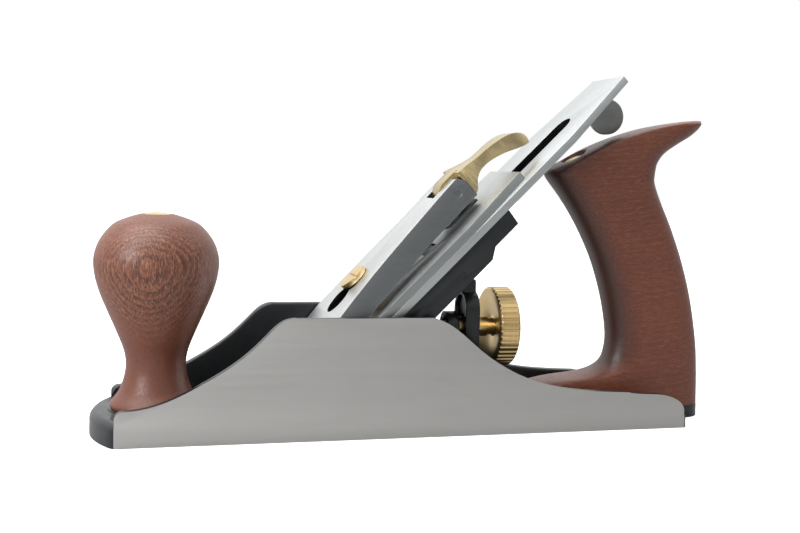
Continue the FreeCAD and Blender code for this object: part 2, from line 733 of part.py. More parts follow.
def build_cap_iron():
    """The cap iron: a plate with a springy bend that meets the iron near its edge."""
    deep = size("cap_iron_depth")
    tip = size("edge_rest") + 1.3
    hump = size("cap_iron_hump")
    top = size("cap_iron_top")
    profile = [
        [(tip + 1.6, 2.6), (tip + 5.0, 5.6), (tip + 10.5, hump), (tip + 16.0, 5.8),
         (tip + 21.0, 4.2), (tip + 27.0, deep)],
        (top, deep),
        (top, 0.02),
        (tip + 28.0, 0.02),
        [(tip + 25.0, 0.08), (tip + 21.0, 0.75), (tip + 16.0, 2.3), (tip + 10.5, hump - 3.4), (tip + 5.0, 2.3),
         (tip + 1.2, 0.4), (tip, 0.02)],
    ]
    bent = side_pad("cap_iron_bent", profile, "iron_width")
    side = size("iron_width") / 2
    narrow = size("cap_iron_top_width") / 2
    plan = plan_pad(
        "cap_iron_plan",
        [(0.0, side), (0.0, -side), (size("cap_iron_taper"), -side), (top, -narrow),
         (top, narrow), (size("cap_iron_taper"), side)],
        "cap_iron_hump + 4",
        -1.0,
    )
    plate = common("cap_iron_plate", bent, plan)
    tapped = rod("cap_iron_thread", "cap_screw_shank + bore_play", "12",
                 (size("cap_screw_s"), 0, -2))
    lever_slot = slot_tool("cap_iron_slot", size("lever_screw_s") - 5.0,
                           size("lever_screw_s") + 5.0, "9.4", "12", -2)
    yoke_slot = block("cap_iron_yoke_slot", "yoke_stem + 1.4", "yoke_stem + 2.4", "12",
                      (size("yoke_s") - size("yoke_stem") / 2 - 0.7, -2))
    piece(cut("cap_iron", plate, [tapped, lever_slot, yoke_slot]), "cap_iron", BED)


def build_cap_iron_screw():
    """The screw that holds iron and cap iron together, head against the iron's underside."""
    under = IRON_UNDER - 0.02
    shank = rod("cap_screw_stem", "cap_screw_shank", f"{size('cap_iron_depth') - under}",
                (size("cap_screw_s"), 0, under))
    head = rod("cap_screw_disc", "cap_screw_head", "3.6", (size("cap_screw_s"), 0, under - 3.6))
    slot = block("cap_screw_slot", "20", "1.6", "1.6", (size("cap_screw_s") - 10, under - 4.2))
    blank = fused("cap_screw_blank", [shank, head])
    piece(cut("cap_iron_screw", blank, [slot]), "cap_iron_screw", BED)


# ---------------------------------------------------------------- lever cap


def spring_roof():
    """Height of the lever cap's inner face where the spring is riveted to it."""
    return 16.7 - size("lever_cap_wall")


def lever_cap_end():
    """The upper end of the lever cap, up the bed."""
    return size("cam_pin_s") + size("knuckle_radius")


def about_pin(radius, degrees):
    """A point at a distance and angle from the cam pin's axis, in the bed frame."""
    angle = math.radians(degrees)
    return (
        size("cam_pin_s") + radius * math.cos(angle),
        size("cam_pin_h") + radius * math.sin(angle),
    )


def lever_cap_plan(name, inset, height, lift, start):
    """Plan of the lever cap: parallel, then tapering to its upper end."""
    wide = size("lever_cap_width") / 2 - inset
    narrow = size("lever_cap_top_width") / 2 - inset
    top = lever_cap_end()
    taper = size("lever_cap_taper")
    waist = narrow + 0.36 * (wide - narrow)
    middle = taper + 0.52 * (top - taper)
    return plan_pad(
        name,
        [(start, wide), (start, -wide), (taper, -wide),
         [(middle, -waist), (top, -narrow)],
         (top, narrow),
         [(middle, waist), (taper, wide)]],
        height,
        lift,
    )


def build_lever_cap():
    """The lever cap: a shell over the cap iron, keyholed for its screw."""
    foot = size("lever_cap_foot")
    rest = size("cap_iron_hump") + 0.15
    end = lever_cap_end()
    profile = [
        (foot, rest + 0.8),
        (foot + 1.6, rest),
        (foot + 9.0, rest),
        (foot + 22.0, 5.6),
        (60.0, 5.9),
        (99.0, 7.4),
        (end, 7.4),
        about_pin(size("knuckle_radius"), 0),
        [about_pin(size("knuckle_radius"), angle) for angle in (20, 40, 60)],
        [(114.0, 18.1), (104.0, 17.6), (88.0, 16.9), (72.0, 16.1), (50.0, 14.4)],
        (30.0, 12.2),
        (foot + 3.0, 9.6),
    ]
    side = side_pad("lever_cap_side", profile, "lever_cap_width")
    plan = lever_cap_plan("lever_cap_plan", 0.0, "30", -2.0, foot - 1)
    outer = common("lever_cap_outer", side, plan)

    wall = size("lever_cap_wall")
    inside = [
        (foot + 20.0, 3.0),
        (foot + 24.0, 9.4),
        [(50.0, 14.4 - wall), (72.0, 16.1 - wall), (88.0, 16.9 - wall), (104.0, 17.6 - wall)],
        (112.0, 17.9 - wall),
        (112.0, 3.0),
    ]
    hollow_side = side_pad("lever_cap_hollow_side", inside, "lever_cap_width")
    hollow_plan = lever_cap_plan("lever_cap_hollow_plan", wall, "30", -2.0, foot)
    hollow = common("lever_cap_hollow", hollow_side, hollow_plan)
    large = rod("lever_hole_large", "lever_hole_radius", "30", (size("lever_hole_s"), 0, 0))
    small = slot_tool("lever_hole_small", size("lever_hole_s"), size("lever_screw_s"),
                      "2 * lever_screw_shank + loose_play", "30", 0)
    cheek_gap = block("cam_gap", "30", "cam_width + loose_play", "30",
                      (size("cam_pin_s") - size("cam_radius") - 0.8, 0))
    bore = rod("cam_pin_bore", "cam_pin_radius", "60", (size("cam_pin_s"), -30, size("cam_pin_h")),
               (0, 1, 0))
    rivet = rod("cap_rivet_bore", "1.5", "2.4", (size("spring_rivet_s"), 0, spring_roof()))
    tools = [hollow, large, small, cheek_gap, bore, rivet]
    piece(cut("lever_cap", outer, tools), "lever_cap", BED)


def build_lever_cap_screw():
    """The screw that the lever cap hooks under."""
    seat = 16.25
    head = turned(
        "lever_screw_head_turned",
        [(0.0, seat), (size("lever_screw_head"), seat), (size("lever_screw_head"), seat + 2.0),
         [(size("lever_screw_head") * 0.6, seat + 2.35), (0.0, seat + 2.5)]],
    )
    head.Placement = Placement(Vector(size("lever_screw_s"), 0, 0), Rotation())
    shank = rod("lever_screw_stem", "lever_screw_shank", f"{seat + 18.0}",
                (size("lever_screw_s"), 0, -18.0))
    blank = fused("lever_screw_blank", [head, shank])
    slot = block("lever_screw_slot", "1.5", "20", "3", (size("lever_screw_s") - 0.75, seat + 1.3))
    piece(cut("lever_cap_screw", blank, [slot]), "lever_cap_screw", BED)


def build_cam_lever():
    """The brass thumb lever: a cam between the cheeks, a shoulder and a waisted arm."""
    s0 = size("cam_pin_s")
    h0 = size("cam_pin_h")
    width = size("cam_width")
    hub = h0 - size("cam_offset")
    cam = rod("cam_disc", "cam_radius", "cam_width", (s0, -width / 2, hub), (0, 1, 0))
    clear = size("knuckle_radius") + size("knuckle_gap")
    face = s0 + clear
    neck = side_pad(
        "cam_neck",
        [(s0, hub + size("cam_radius")), (face + 1.5, 19.7), (face + 1.5, 9.5), (s0 + 2.0, 9.5)],
        "cam_width",
    )
    upper = about_pin(clear, 25)
    shoulder_side = side_pad(
        "cam_shoulder_side",
        [(face, h0), [about_pin(clear, 13), upper], (upper[0] + 0.2, 19.6),
         [(132.6, 18.3), (138.0, 17.2), (144.0, 16.8), (149.4, 16.2), (154.0, 15.0),
          (157.6, 12.8), (159.8, 9.8), (160.0, 7.6), (158.6, 6.2)],
         [(154.4, 7.6), (148.6, 10.2), (144.0, 11.6), (139.5, 12.3), (135.4, 12.2),
          (132.0, 11.0), (129.6, 9.3), (face, 8.0)]],
        "lever_cap_top_width",
    )
    half = size("lever_cap_top_width") / 2 - 0.5
    plan = plan_pad(
        "cam_arm_plan",
        [(face - 3.0, half), (face - 3.0, -half), (face + 1.0, -half),
         [(133.0, -0.62 * half), (139.0, -0.44 * half), (146.0, -0.52 * half),
          (153.0, -0.62 * half), (158.6, -0.5 * half), (161.2, 0.0), (158.6, 0.5 * half),
          (153.0, 0.62 * half), (146.0, 0.52 * half), (139.0, 0.44 * half),
          (133.0, 0.62 * half), (face + 1.0, half)]],
        "30",
    )
    arm = common("cam_arm", shoulder_side, plan)
    bore = rod("cam_bore", "cam_pin_radius + bore_play", "40", (s0, -20, h0), (0, 1, 0))
    blank = fused("cam_blank", [cam, neck, arm])
    piece(cut("cam_lever", blank, [bore]), "cam_lever", BED)


def build_cam_pin():
    """The pin across the lever cap's cheeks."""
    length = size("lever_cap_top_width") - 0.8
    pin = rod("cam_pin_rod", "cam_pin_radius", f"{length}",
              (size("cam_pin_s"), -length / 2, size("cam_pin_h")), (0, 1, 0))
    piece(pin, "cam_pin", BED)


def build_spring():
    """The flat spring under the lever cap, with its rivet."""
    deep = size("spring_depth")
    low = size("spring_bed")
    start = size("spring_rivet_s") - 5.0
    roof = spring_roof()
    strip = side_pad(
        "spring_strip",
        [(start, roof), (start, roof - deep), (start + 10.0, roof - deep),
         (start + 26.0, low), (lever_cap_end() - 0.6, low), (lever_cap_end() - 0.6, low + deep),
         (start + 26.4, low + deep), (start + 10.4, roof)],
        "spring_width",
    )
    hole = rod("spring_hole", "1.5", "10", (size("spring_rivet_s"), 0, roof - 5))
    piece(cut("lever_cap_spring", strip, [hole]), "lever_cap_spring", BED)
    rivet = rod("spring_rivet_shank", "1.5", "2.4 + spring_depth",
                (size("spring_rivet_s"), 0, roof - deep))
    head = rod("spring_rivet_head", "2.8", "1.2", (size("spring_rivet_s"), 0, roof - deep - 1.2))
    piece(fused("spring_rivet", [rivet, head]), "spring_rivet", BED)


# ---------------------------------------------------------------- depth adjustment


def build_depth_wheel():
    """The brass wheel: knurled rim, dished front, and a grooved hub for the yoke."""
    front = size("wheel_front")
    back = front + size("wheel_rim")
    outer = size("wheel_radius")
    hub = size("hub_radius")
    bore = size("stud_radius") + size("bore_play")
    groove = size("groove_front")
    groove_end = groove + size("groove_width")
    wheel = turned(
        "depth_wheel_turned",
        [
            (bore, size("hub_front")), (hub, size("hub_front")), (hub, groove),
            (size("hub_groove"), groove), (size("hub_groove"), groove_end), (hub, groove_end),
            (hub, front - 0.4), (hub - 1.0, front - 0.4), (hub - 1.0, front + 2.2),
            (outer - 2.6, front - 0.2), (outer - 0.6, front), (outer, front + 0.6),
            (outer, back - 0.9), (outer - 0.9, back), (outer - 4.0, back),
            (hub + 2.0, back - 1.6), (bore, back - 1.6),
        ],
    )
    wheel.Placement = Placement(Vector(0, 0, size("stud_z")), Rotation(ACROSS, 90))
    piece(wheel, "depth_wheel", SOLE)
    stud = rod("depth_stud_rod", "stud_radius", "wheel_front + wheel_rim - lug_front + 8",
               (size("lug_front") - 9.0, 0, size("stud_z")), (1, 0, 0))
    piece(stud, "depth_stud", SOLE)


def build_yoke():
    """The yoke: a fork on the wheel's hub, a stem through the frog and a tip in the cap iron."""
    stem = size("yoke_stem")
    fork_x = size("groove_front") + size("groove_width") / 2
    axis = size("stud_z")
    wide = size("yoke_fork") / 2
    front = fork_x - 4.0
    back = fork_x + 1.9
    arch = axis + 6.8
    round_top = rod("yoke_arch", "yoke_fork / 2", f"{back - front}", (front, 0, arch), (1, 0, 0))
    legs = block("yoke_legs", f"{back - front}", "yoke_fork", "16.5", (front, arch - 16.5))
    pivot_x, pivot_z = bed_point(size("yoke_s"), -size("yoke_h"))
    tip_low = bed_point(size("yoke_s") - stem / 2, 2.9)
    tip_high = bed_point(size("yoke_s") + stem / 2, 2.9)
    elbow_low = bed_point(size("yoke_s") - stem / 2, -size("yoke_h") - 3.0)
    elbow_high = bed_point(size("yoke_s") + stem / 2, -size("yoke_h") - 1.0)
    rise = side_pad(
        "yoke_rise",
        [tip_low, tip_high, elbow_high, (back - 0.3, arch + 12.6), (back, arch),
         (front + 1.5, arch), (front + 1.5, arch + 7.0), elbow_low],
        "yoke_stem",
    )
    boss = rod("yoke_boss", "yoke_pin_radius + 1.8", "yoke_stem",
               (pivot_x, -stem / 2, pivot_z), (0, 1, 0))
    blank = fused("yoke_blank", [round_top, legs, rise, boss])
    gap = size("hub_groove") + 0.25
    slot = block("yoke_fork_slot", "30", f"{2 * gap}", "30", (front - 10, axis - 30))
    slot_top = rod("yoke_fork_round", f"{gap}", "30", (front - 10, 0, axis + 0.6), (1, 0, 0))
    slot_mid = block("yoke_fork_mid", "30", f"{2 * gap}", "1.6", (front - 10, axis - 1))
    slack = size("hub_radius") + 0.5
    pad = size("fork_depth") / 2
    front_relief = rod("yoke_front_relief", f"{slack}", "12", (fork_x - pad - 12, 0, axis + 0.6),
                       (1, 0, 0))
    front_drop = block("yoke_front_drop", "12", f"{2 * slack}", "30",
                       (fork_x - pad - 12, axis + 0.6 - 30))
    recess_round = rod("yoke_recess_round", "yoke_fork / 2 - 1.5", "1.4", (front - 0.1, 0, arch),
                       (1, 0, 0))
    recess = block("yoke_recess", "1.4", "yoke_fork - 3", "12", (front - 0.1, arch - 12))
    bore = rod("yoke_bore", "yoke_pin_radius + bore_play", "20", (pivot_x, -10, pivot_z),
               (0, 1, 0))
    tools = [slot, slot_top, slot_mid, front_relief, front_drop, recess_round, recess, bore]
    piece(cut("yoke", blank, tools), "yoke", SOLE)
    pin = rod("yoke_pin_rod", "yoke_pin_radius", "frog_width - 0.6",
              (size("yoke_s"), -size("frog_width") / 2 + 0.3, -size("yoke_h")), (0, 1, 0))
    piece(pin, "yoke_pin", BED)


# ---------------------------------------------------------------- lateral adjustment


def build_lateral_lever():
    """The lateral lever under the iron, its thumb disc, its roller and its rivet."""
    deep = size("lateral_depth")
    top = FROG_FACE - 0.3
    low = top - deep
    wide = size("lateral_width") / 2
    blade = plan_pad(
        "lateral_blade",
        [(size("roller_s"), wide), (size("roller_s"), -wide), (size("rivet_s") + 8, -wide),
         (176.0, -3.2), (184.0, -3.2), (184.0, 3.2), (176.0, 3.2), (size("rivet_s") + 8, wide)],
        "lateral_depth",
        low,
    )
    toe = rod("lateral_toe", "lateral_width / 2", "lateral_depth", (size("roller_s"), 0, low))
    centre = top - size("thumb_radius") - 0.2
    disc = rod("thumb_disc", "thumb_radius", "thumb_depth",
               (size("thumb_s"), -size("thumb_depth") / 2, centre), (0, 1, 0))
    neck = side_pad(
        "thumb_neck",
        [(176.5, top), (size("thumb_s"), top), (size("thumb_s"), centre - 3.0), (186.5, -9.4),
         (178.5, low)],
        "thumb_depth",
    )
    pin = rod("roller_pin", "1.6", "2.9", (size("roller_s"), 0, low + deep))
    blank = fused("lateral_blank", [blade, toe, disc, neck, pin])
    bore = rod("lateral_bore", "rivet_radius + bore_play", "10", (size("rivet_s"), 0, low - 2))
    piece(cut("lateral_lever", blank, [bore]), "lateral_lever", BED)

    roller = rod("roller_disc", "roller_radius", "2.6", (size("roller_s"), 0, top + 0.1))
    roller_bore = rod("roller_bore", "1.6 + bore_play", "6", (size("roller_s"), 0, top - 1))
    piece(cut("lateral_roller", roller, [roller_bore]), "lateral_roller", BED)

    shank = rod("rivet_shank", "rivet_radius", "lateral_depth + 4.5",
                (size("rivet_s"), 0, low - 4.3))
    head = rod("rivet_head", "rivet_radius + 0.4", "0.24", (size("rivet_s"), 0, top + 0.02))
    piece(fused("lateral_rivet", [shank, head]), "lateral_rivet", BED)


# ---------------------------------------------------------------- knob and tote


def build_knob():
    """The turned front knob, its rod and its slotted nut."""
    seat = size("knob_seat")
    top = size("knob_top")
    tall = top - seat
    big = size("knob_radius")
    neck = size("knob_neck")
    foot = size("knob_foot")
    nut = size("nut_radius") + 0.2
    deep = size("nut_depth")
    knob = turned(
        "front_knob_turned",
        [
            (size("rod_radius") + 0.3, seat),
            (foot - 0.4, seat),
            [(foot, seat + 0.6), (foot - 0.25, seat + 2.4), (0.5 * (foot + neck) - 0.3, seat + 6.6),
             (neck + 0.7, seat + 12.2), (neck + 0.1, seat + 17.2), (neck + 0.9, seat + 22.5),
             (neck + 3.8, seat + 30.0), (0.5 * (neck + big) + 0.9, seat + 37.5),
             (big - 2.0, seat + 0.606 * tall), (big - 0.25, seat + 0.7 * tall),
             (big - 0.1, seat + 0.78 * tall), (big - 2.2, seat + 0.863 * tall),
             (big - 6.9, seat + 0.94 * tall), (0.5 * big, seat + 0.975 * tall), (nut + 0.7, top)],
            (nut, top - 0.3),
            (nut, top - deep),
            (size("rod_radius") + 1.4, top - deep),
            (size("rod_radius") + 1.4, top - deep - 6.2),
            (size("rod_radius") + 0.3, top - deep - 6.2),
        ],
    )
    place = Placement(Vector(-size("knob_x"), 0, 0), Rotation())
    knob.Placement = place
    piece(knob, "front_knob", SOLE)
    nut_solid = turned(
        "knob_nut_turned",
        [
            (size("rod_radius"), top - deep - 6.0), (size("rod_radius") + 1.2, top - deep - 6.0),
            (size("rod_radius") + 1.2, top - deep), (size("nut_radius"), top - deep),
            (size("nut_radius"), top - 0.6), [(0.6 * size("nut_radius"), top + 0.15), (0.0, top + 0.4)],
            (0.0, top - 2.0), (size("rod_radius"), top - 2.0),
        ],
    )
    slot = block("knob_nut_slot", "20", "1.4", "3", (-10, top - 1.1))
    nut_piece = cut("knob_nut", nut_solid, [slot])
    nut_piece.Placement = place
    piece(nut_piece, "knob_nut", SOLE)
    stud = rod("knob_stud_rod", "rod_radius", f"{top - 2.0 - 2.0}", (-size("knob_x"), 0, 2.0))
    piece(stud, "knob_stud", SOLE)


TOTE_SECTIONS = [
    # height over the sole, then how far the level section's front and back ends lie
    # forward of the heel's end
    (5.0, 87.4, 0.3), (9.0, 88.0, 0.4), (12.5, 85.8, 0.5), (15.2, 80.6, 0.6),
    (17.0, 71.2, 0.7), (18.4, 59.2, 0.7), (20.6, 50.6, 0.9), (24.0, 45.4, 1.1),
    (29.0, 43.4, 1.5), (36.0, 43.0, 2.5), (47.0, 44.8, 4.6), (58.0, 47.8, 7.4),
    (70.0, 52.3, 11.4), (83.0, 59.2, 16.8), (94.0, 66.6, 22.2), (101.0, 72.3, 25.0),
    (104.4, 73.6, 25.1), (107.0, 70.6, 24.8), (110.0, 65.0, 24.0), (114.0, 57.8, 21.0),
    (118.0, 49.0, 15.2), (121.5, 39.6, 9.4), (124.5, 29.6, 6.0), (126.8, 18.6, 4.9),
    (128.2, 10.0, 5.1),
]


def tote_section(body, number, height, front_back, rear_back):
    """One level section of the tote: straight sides with full rounded ends."""
    front = size("heel_reach") - front_back
    back = size("heel_reach") - rear_back
    length = back - front
    nose = min(size("tote_nose"), 0.46 * length)
    wide = size("tote_width") / 2 * min(1.0, 0.5 + 0.035 * length)
    angles = [math.radians(15 * step) for step in range(-5, 7)]
    cap = [
        (nose * (1 - max(math.cos(angle), 0.0) ** 0.85),
         math.copysign(wide * abs(math.sin(angle)) ** 0.85, angle))
        for angle in angles
    ]
    sketch = body.newObject("Sketcher::SketchObject", f"tote_section_{number}")
    sketch.AttachmentSupport = [(origin_plane(body, "XY_Plane"), "")]
    sketch.MapMode = "FlatFace"
    sketch.AttachmentOffset = Placement(Vector(0, 0, height), Rotation())
    loop(
        sketch,
        [
            (front + nose, -wide),
            [(front + x, y) for x, y in cap],
            (back - nose, wide),
            [(back - x, -y) for x, y in cap],
        ],
    )
    return sketch


def build_tote():
    """The tote, its long rod and its slotted nut."""
    grip = doc.addObject("PartDesign::Body", "tote_grip")
    sketches = [
        tote_section(grip, number, *section) for number, section in enumerate(TOTE_SECTIONS)
    ]
    loft = grip.newObject("PartDesign::AdditiveLoft", "tote_loft")
    loft.Profile = sketches[0]
    loft.Sections = sketches[1:]
    loft.Ruled = False
    lean = math.radians(size("tote_rod_lean"))
    axis = Vector(math.sin(lean), 0, -math.cos(lean))
    head = Vector(size("heel_reach") - size("tote_rod_back"), 0, size("tote_rod_z"))
    frame = Placement(head, Rotation(UP, axis * -1))
    length = (size("tote_rod_z") - 2.0) / math.cos(lean)
    deep = size("nut_depth")
    through = rod("tote_rod_room", "rod_radius + 0.3", f"{length + 30}", (0, 0, -length - 10))
    well = rod("tote_nut_room", "nut_radius + 0.2", "30", (0, 0, -deep))
    barrel = rod("tote_nut_barrel_room", "rod_radius + 1.4", "8", (0, 0, -deep - 6.2))
    tools = [moved(tool, frame) for tool in (through, well, barrel)]
    piece(cut("tote", grip, tools), "tote", SOLE)

    nut = turned(
        "tote_nut_turned",
        [
            (size("rod_radius"), -deep - 6.0), (size("rod_radius") + 1.2, -deep - 6.0),
            (size("rod_radius") + 1.2, -deep), (size("nut_radius"), -deep),
            (size("nut_radius"), -0.9), [(0.6 * size("nut_radius"), -0.2), (0.0, 0.0)],
            (0.0, -2.0), (size("rod_radius"), -2.0),
        ],
    )
    slot = block("tote_nut_slot", "20", "1.4", "3", (-10, -1.4))
    nut_piece = cut("tote_nut", nut, [slot])
    nut_piece.Placement = frame
    piece(nut_piece, "tote_nut", SOLE)
    stud = rod("tote_stud_rod", "rod_radius", f"{length - 2.0}", (0, 0, -length))
    piece(moved(stud, frame), "tote_stud", SOLE)


# ---------------------------------------------------------------- make and write


def check_and_write():
    """Stop on anything failed, then write each sub-part's solid."""
    doc.recompute()
    for thing in doc.Objects:
        if {"Invalid", "Error"} & set(thing.State):
            raise RuntimeError(f"{thing.Name} failed: {thing.State}")
    os.makedirs("parts", exist_ok=True)
    for thing in PIECES:
        shape = thing.Shape
        if shape.isNull() or not shape.isValid() or shape.Volume <= 0:
            raise RuntimeError(f"{thing.Label} has no valid shape")
        box = shape.BoundBox
        print(
            f"{thing.Label:22s} solids {len(shape.Solids)}  volume {shape.Volume:9.1f}"
            f"  x {box.XMin:7.2f} {box.XMax:7.2f}  y {box.YMin:6.2f} {box.YMax:6.2f}"
            f"  z {box.ZMin:6.2f} {box.ZMax:6.2f}"
        )
        shape.exportStep(f"parts/{thing.Label}.step")


build_body()
build_frog()
build_frog_fixings()
build_iron()
build_cap_iron()
build_cap_iron_screw()
build_lever_cap()
build_lever_cap_screw()
build_cam_lever()
build_cam_pin()
build_spring()
build_depth_wheel()
build_yoke()
build_lateral_lever()
build_knob()
build_tote()
check_and_write()
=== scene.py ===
# %% [markdown]
# # A smoothing plane, piece by piece
# This lesson dresses a finished engineering model of a small bench plane. The model already
# holds every piece at its real size, so our work is the look: soft edges on the castings, a
# turned knob, a shaped handle, a knurled brass wheel, and a finish for each metal and wood.

# %% Load the engineering model
import json
import math

import bmesh
import bpy
from mathutils import Matrix, Vector


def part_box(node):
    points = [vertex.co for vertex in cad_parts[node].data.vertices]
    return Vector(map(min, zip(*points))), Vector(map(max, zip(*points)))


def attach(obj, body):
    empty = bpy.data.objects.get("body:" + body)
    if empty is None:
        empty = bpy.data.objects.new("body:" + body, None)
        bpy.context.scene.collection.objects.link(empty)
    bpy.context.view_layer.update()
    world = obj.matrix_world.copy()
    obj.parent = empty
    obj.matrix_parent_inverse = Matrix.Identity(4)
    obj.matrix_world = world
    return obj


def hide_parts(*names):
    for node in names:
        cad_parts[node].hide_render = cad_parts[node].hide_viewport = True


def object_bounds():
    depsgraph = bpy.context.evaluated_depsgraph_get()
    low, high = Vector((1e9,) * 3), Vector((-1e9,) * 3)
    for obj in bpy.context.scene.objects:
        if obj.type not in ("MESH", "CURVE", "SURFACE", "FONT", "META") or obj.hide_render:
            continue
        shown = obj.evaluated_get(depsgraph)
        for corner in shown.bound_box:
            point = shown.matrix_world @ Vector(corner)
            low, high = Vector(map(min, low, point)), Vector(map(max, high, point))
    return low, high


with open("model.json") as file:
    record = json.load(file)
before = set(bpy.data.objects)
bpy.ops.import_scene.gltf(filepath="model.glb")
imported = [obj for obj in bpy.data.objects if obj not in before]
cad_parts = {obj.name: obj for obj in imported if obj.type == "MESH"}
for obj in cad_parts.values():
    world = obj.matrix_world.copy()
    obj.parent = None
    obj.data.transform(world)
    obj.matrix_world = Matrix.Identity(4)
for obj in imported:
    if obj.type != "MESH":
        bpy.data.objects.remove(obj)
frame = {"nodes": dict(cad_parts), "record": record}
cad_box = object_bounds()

MM = 0.001
TOE = cad_box[0][0]
HEEL_END = cad_box[1][0]
print("pieces in the model:", len(frame["nodes"]))
print("length, width, height in mm:", [round((b - a) / MM, 1) for a, b in zip(*cad_box)])

# %% [markdown]
# ## The camera
# The tool is seen from its side, turned a little towards the toe and from a little above,
# through a normal lens. A camera looks along its own -Z axis, so its matrix is made from
# three directions: right, up, and back towards the viewer. A small roll finishes it.

# %% Camera
AZIMUTH, ELEVATION, ROLL = (math.radians(angle) for angle in (-15.444, 4.69, 1.506))
EYE = Vector((-129.397, -442.237, 102.179)) * MM
LENS, SENSOR_WIDTH = 50.64, 36.0


def add_camera():
    back = Vector((math.sin(AZIMUTH) * math.cos(ELEVATION),
                   -math.cos(AZIMUTH) * math.cos(ELEVATION), math.sin(ELEVATION)))
    level = (-back).cross(Vector((0, 0, 1))).normalized()
    upright = level.cross(-back)
    right = level * math.cos(ROLL) + upright * math.sin(ROLL)
    up = upright * math.cos(ROLL) - level * math.sin(ROLL)
    data = bpy.data.cameras.new("camera")
    data.sensor_width = SENSOR_WIDTH
    data.lens = LENS
    camera = bpy.data.objects.new("camera", data)
    bpy.context.collection.objects.link(camera)
    matrix = Matrix((right, up, back)).transposed().to_4x4()
    matrix.translation = EYE
    camera.matrix_world = matrix
    bpy.context.scene.camera = camera
    return camera


print("camera at", [round(v, 3) for v in add_camera().location])

# %% [markdown]
# ## Shader helpers
# A finish is a small network of nodes. Helpers keep the cells short: one starts a material
# with its Principled shader, one adds a node, one feeds a socket a link or a plain value, and
# the rest make ramps, mixes, sums and groups. Patterns read Object coordinates, because every
# piece keeps its place in its mesh.

# %% Shader helpers
def new_finish(name, **values):
    """A material and its Principled shader, with plain values set on the shader."""
    material = bpy.data.materials.new(name)
    material.use_nodes = True
    shader = material.node_tree.nodes["Principled BSDF"]
    for socket, value in values.items():
        shader.inputs[socket.replace("_", " ")].default_value = value
    return material, shader


def join(tree, source, target):
    tree.links.new(source, target)


def feed(tree, socket, value):
    """Link another socket to this one, or set this one's plain value."""
    if isinstance(value, bpy.types.NodeSocket):
        join(tree, value, socket)
    else:
        socket.default_value = value


def add_node(tree, kind, inputs=None, **settings):
    """A node with its settings and what feeds its inputs."""
    node = tree.nodes.new("ShaderNode" + kind)
    for name, value in settings.items():
        setattr(node, name, value)
    for key, value in (inputs or {}).items():
        feed(tree, node.inputs[key], value)
    return node


def ramp(tree, factor, stops):
    """A colour ramp; a stop is a position and a grey or a colour."""
    node = add_node(tree, "ValToRGB", {"Fac": factor})
    elements = node.color_ramp.elements
    while len(elements) < len(stops):
        elements.new(0.5)
    for element, (position, value) in zip(elements, stops):
        element.position = position
        element.color = (*value, 1) if isinstance(value, tuple) else (value, value, value, 1)
    return node.outputs["Color"]


def mix_colour(tree, factor, first, second, blend="MIX"):
    node = add_node(tree, "Mix", data_type="RGBA", blend_type=blend)
    for socket, value in ((node.inputs[0], factor), (node.inputs[6], first),
                          (node.inputs[7], second)):
        feed(tree, socket, value)
    return node.outputs[2]


def maths(tree, operation, *values):
    node = add_node(tree, "Math", operation=operation)
    for socket, value in zip(node.inputs, values):
        feed(tree, socket, value)
    return node.outputs[0]


def new_group(name, inputs, outputs):
    """A shader node group with named sockets; gives the tree, its inputs and its outputs."""
    tree = bpy.data.node_groups.new(name, "ShaderNodeTree")
    for label, kind, value in inputs:
        socket = tree.interface.new_socket(name=label, in_out="INPUT", socket_type=kind)
        if value is not None:
            socket.default_value = value
    for label, kind in outputs:
        tree.interface.new_socket(name=label, in_out="OUTPUT", socket_type=kind)
    return tree, tree.nodes.new("NodeGroupInput").outputs, tree.nodes.new("NodeGroupOutput").inputs


def use_group(tree, group, inputs=None):
    node = tree.nodes.new("ShaderNodeGroup")
    node.node_tree = group
    for key, value in (inputs or {}).items():
        feed(tree, node.inputs[key], value)
    return node.outputs


def object_place(tree, scale, rotation=(0, 0, 0)):
    """Object coordinates, stretched along the axes and then turned, by a Mapping node."""
    place = add_node(tree, "TexCoord").outputs["Object"]
    return add_node(tree, "Mapping", {"Vector": place, "Scale": scale,
                                      "Rotation": rotation}).outputs[0]


print("helpers ready")

# %% [markdown]
# ## Effects that several finishes share
# *Grinding lines* are the fine parallel scratches that a belt or a wheel leaves in steel.
# They are noise stretched along the direction of the cut. *Handling* is the broad, faint
# cloudiness that oil and fingers leave. *Edge polish* brightens the corners of a piece, where
# a finish wears first: our softened edges carry an attribute called edge, equal to 1 on the
# narrow faces of the bevel, and noise breaks it up.

# %% Shared groups: grinding lines, handling, edge polish
def build_grinding_lines():
    tree, given, out = new_group(
        "Grinding lines",
        [("Vector", "NodeSocketVector", None)],
        [("Lines", "NodeSocketFloat")],
    )
    fine = add_node(tree, "TexNoise", {"Vector": given["Vector"], "Scale": 1.0,
                                       "Detail": 3.0, "Roughness": 0.6})
    wide = add_node(tree, "TexNoise", {"Vector": given["Vector"], "Scale": 0.23, "Detail": 2.0})
    both = maths(tree, "ADD", maths(tree, "MULTIPLY", fine.outputs["Fac"], 0.65),
                 maths(tree, "MULTIPLY", wide.outputs["Fac"], 0.35))
    join(tree, both, out["Lines"])
    return tree


def build_handling():
    tree, given, out = new_group(
        "Handling",
        [("Vector", "NodeSocketVector", None), ("Size", "NodeSocketFloat", 30.0)],
        [("Cloud", "NodeSocketFloat")],
    )
    cloud = add_node(tree, "TexNoise", {"Vector": given["Vector"], "Scale": given["Size"],
                                        "Detail": 5.0, "Roughness": 0.55, "Distortion": 0.4})
    soft = add_node(tree, "MapRange", {"Value": cloud.outputs["Fac"], 1: 0.3, 2: 0.7})
    join(tree, soft.outputs[0], out["Cloud"])
    return tree


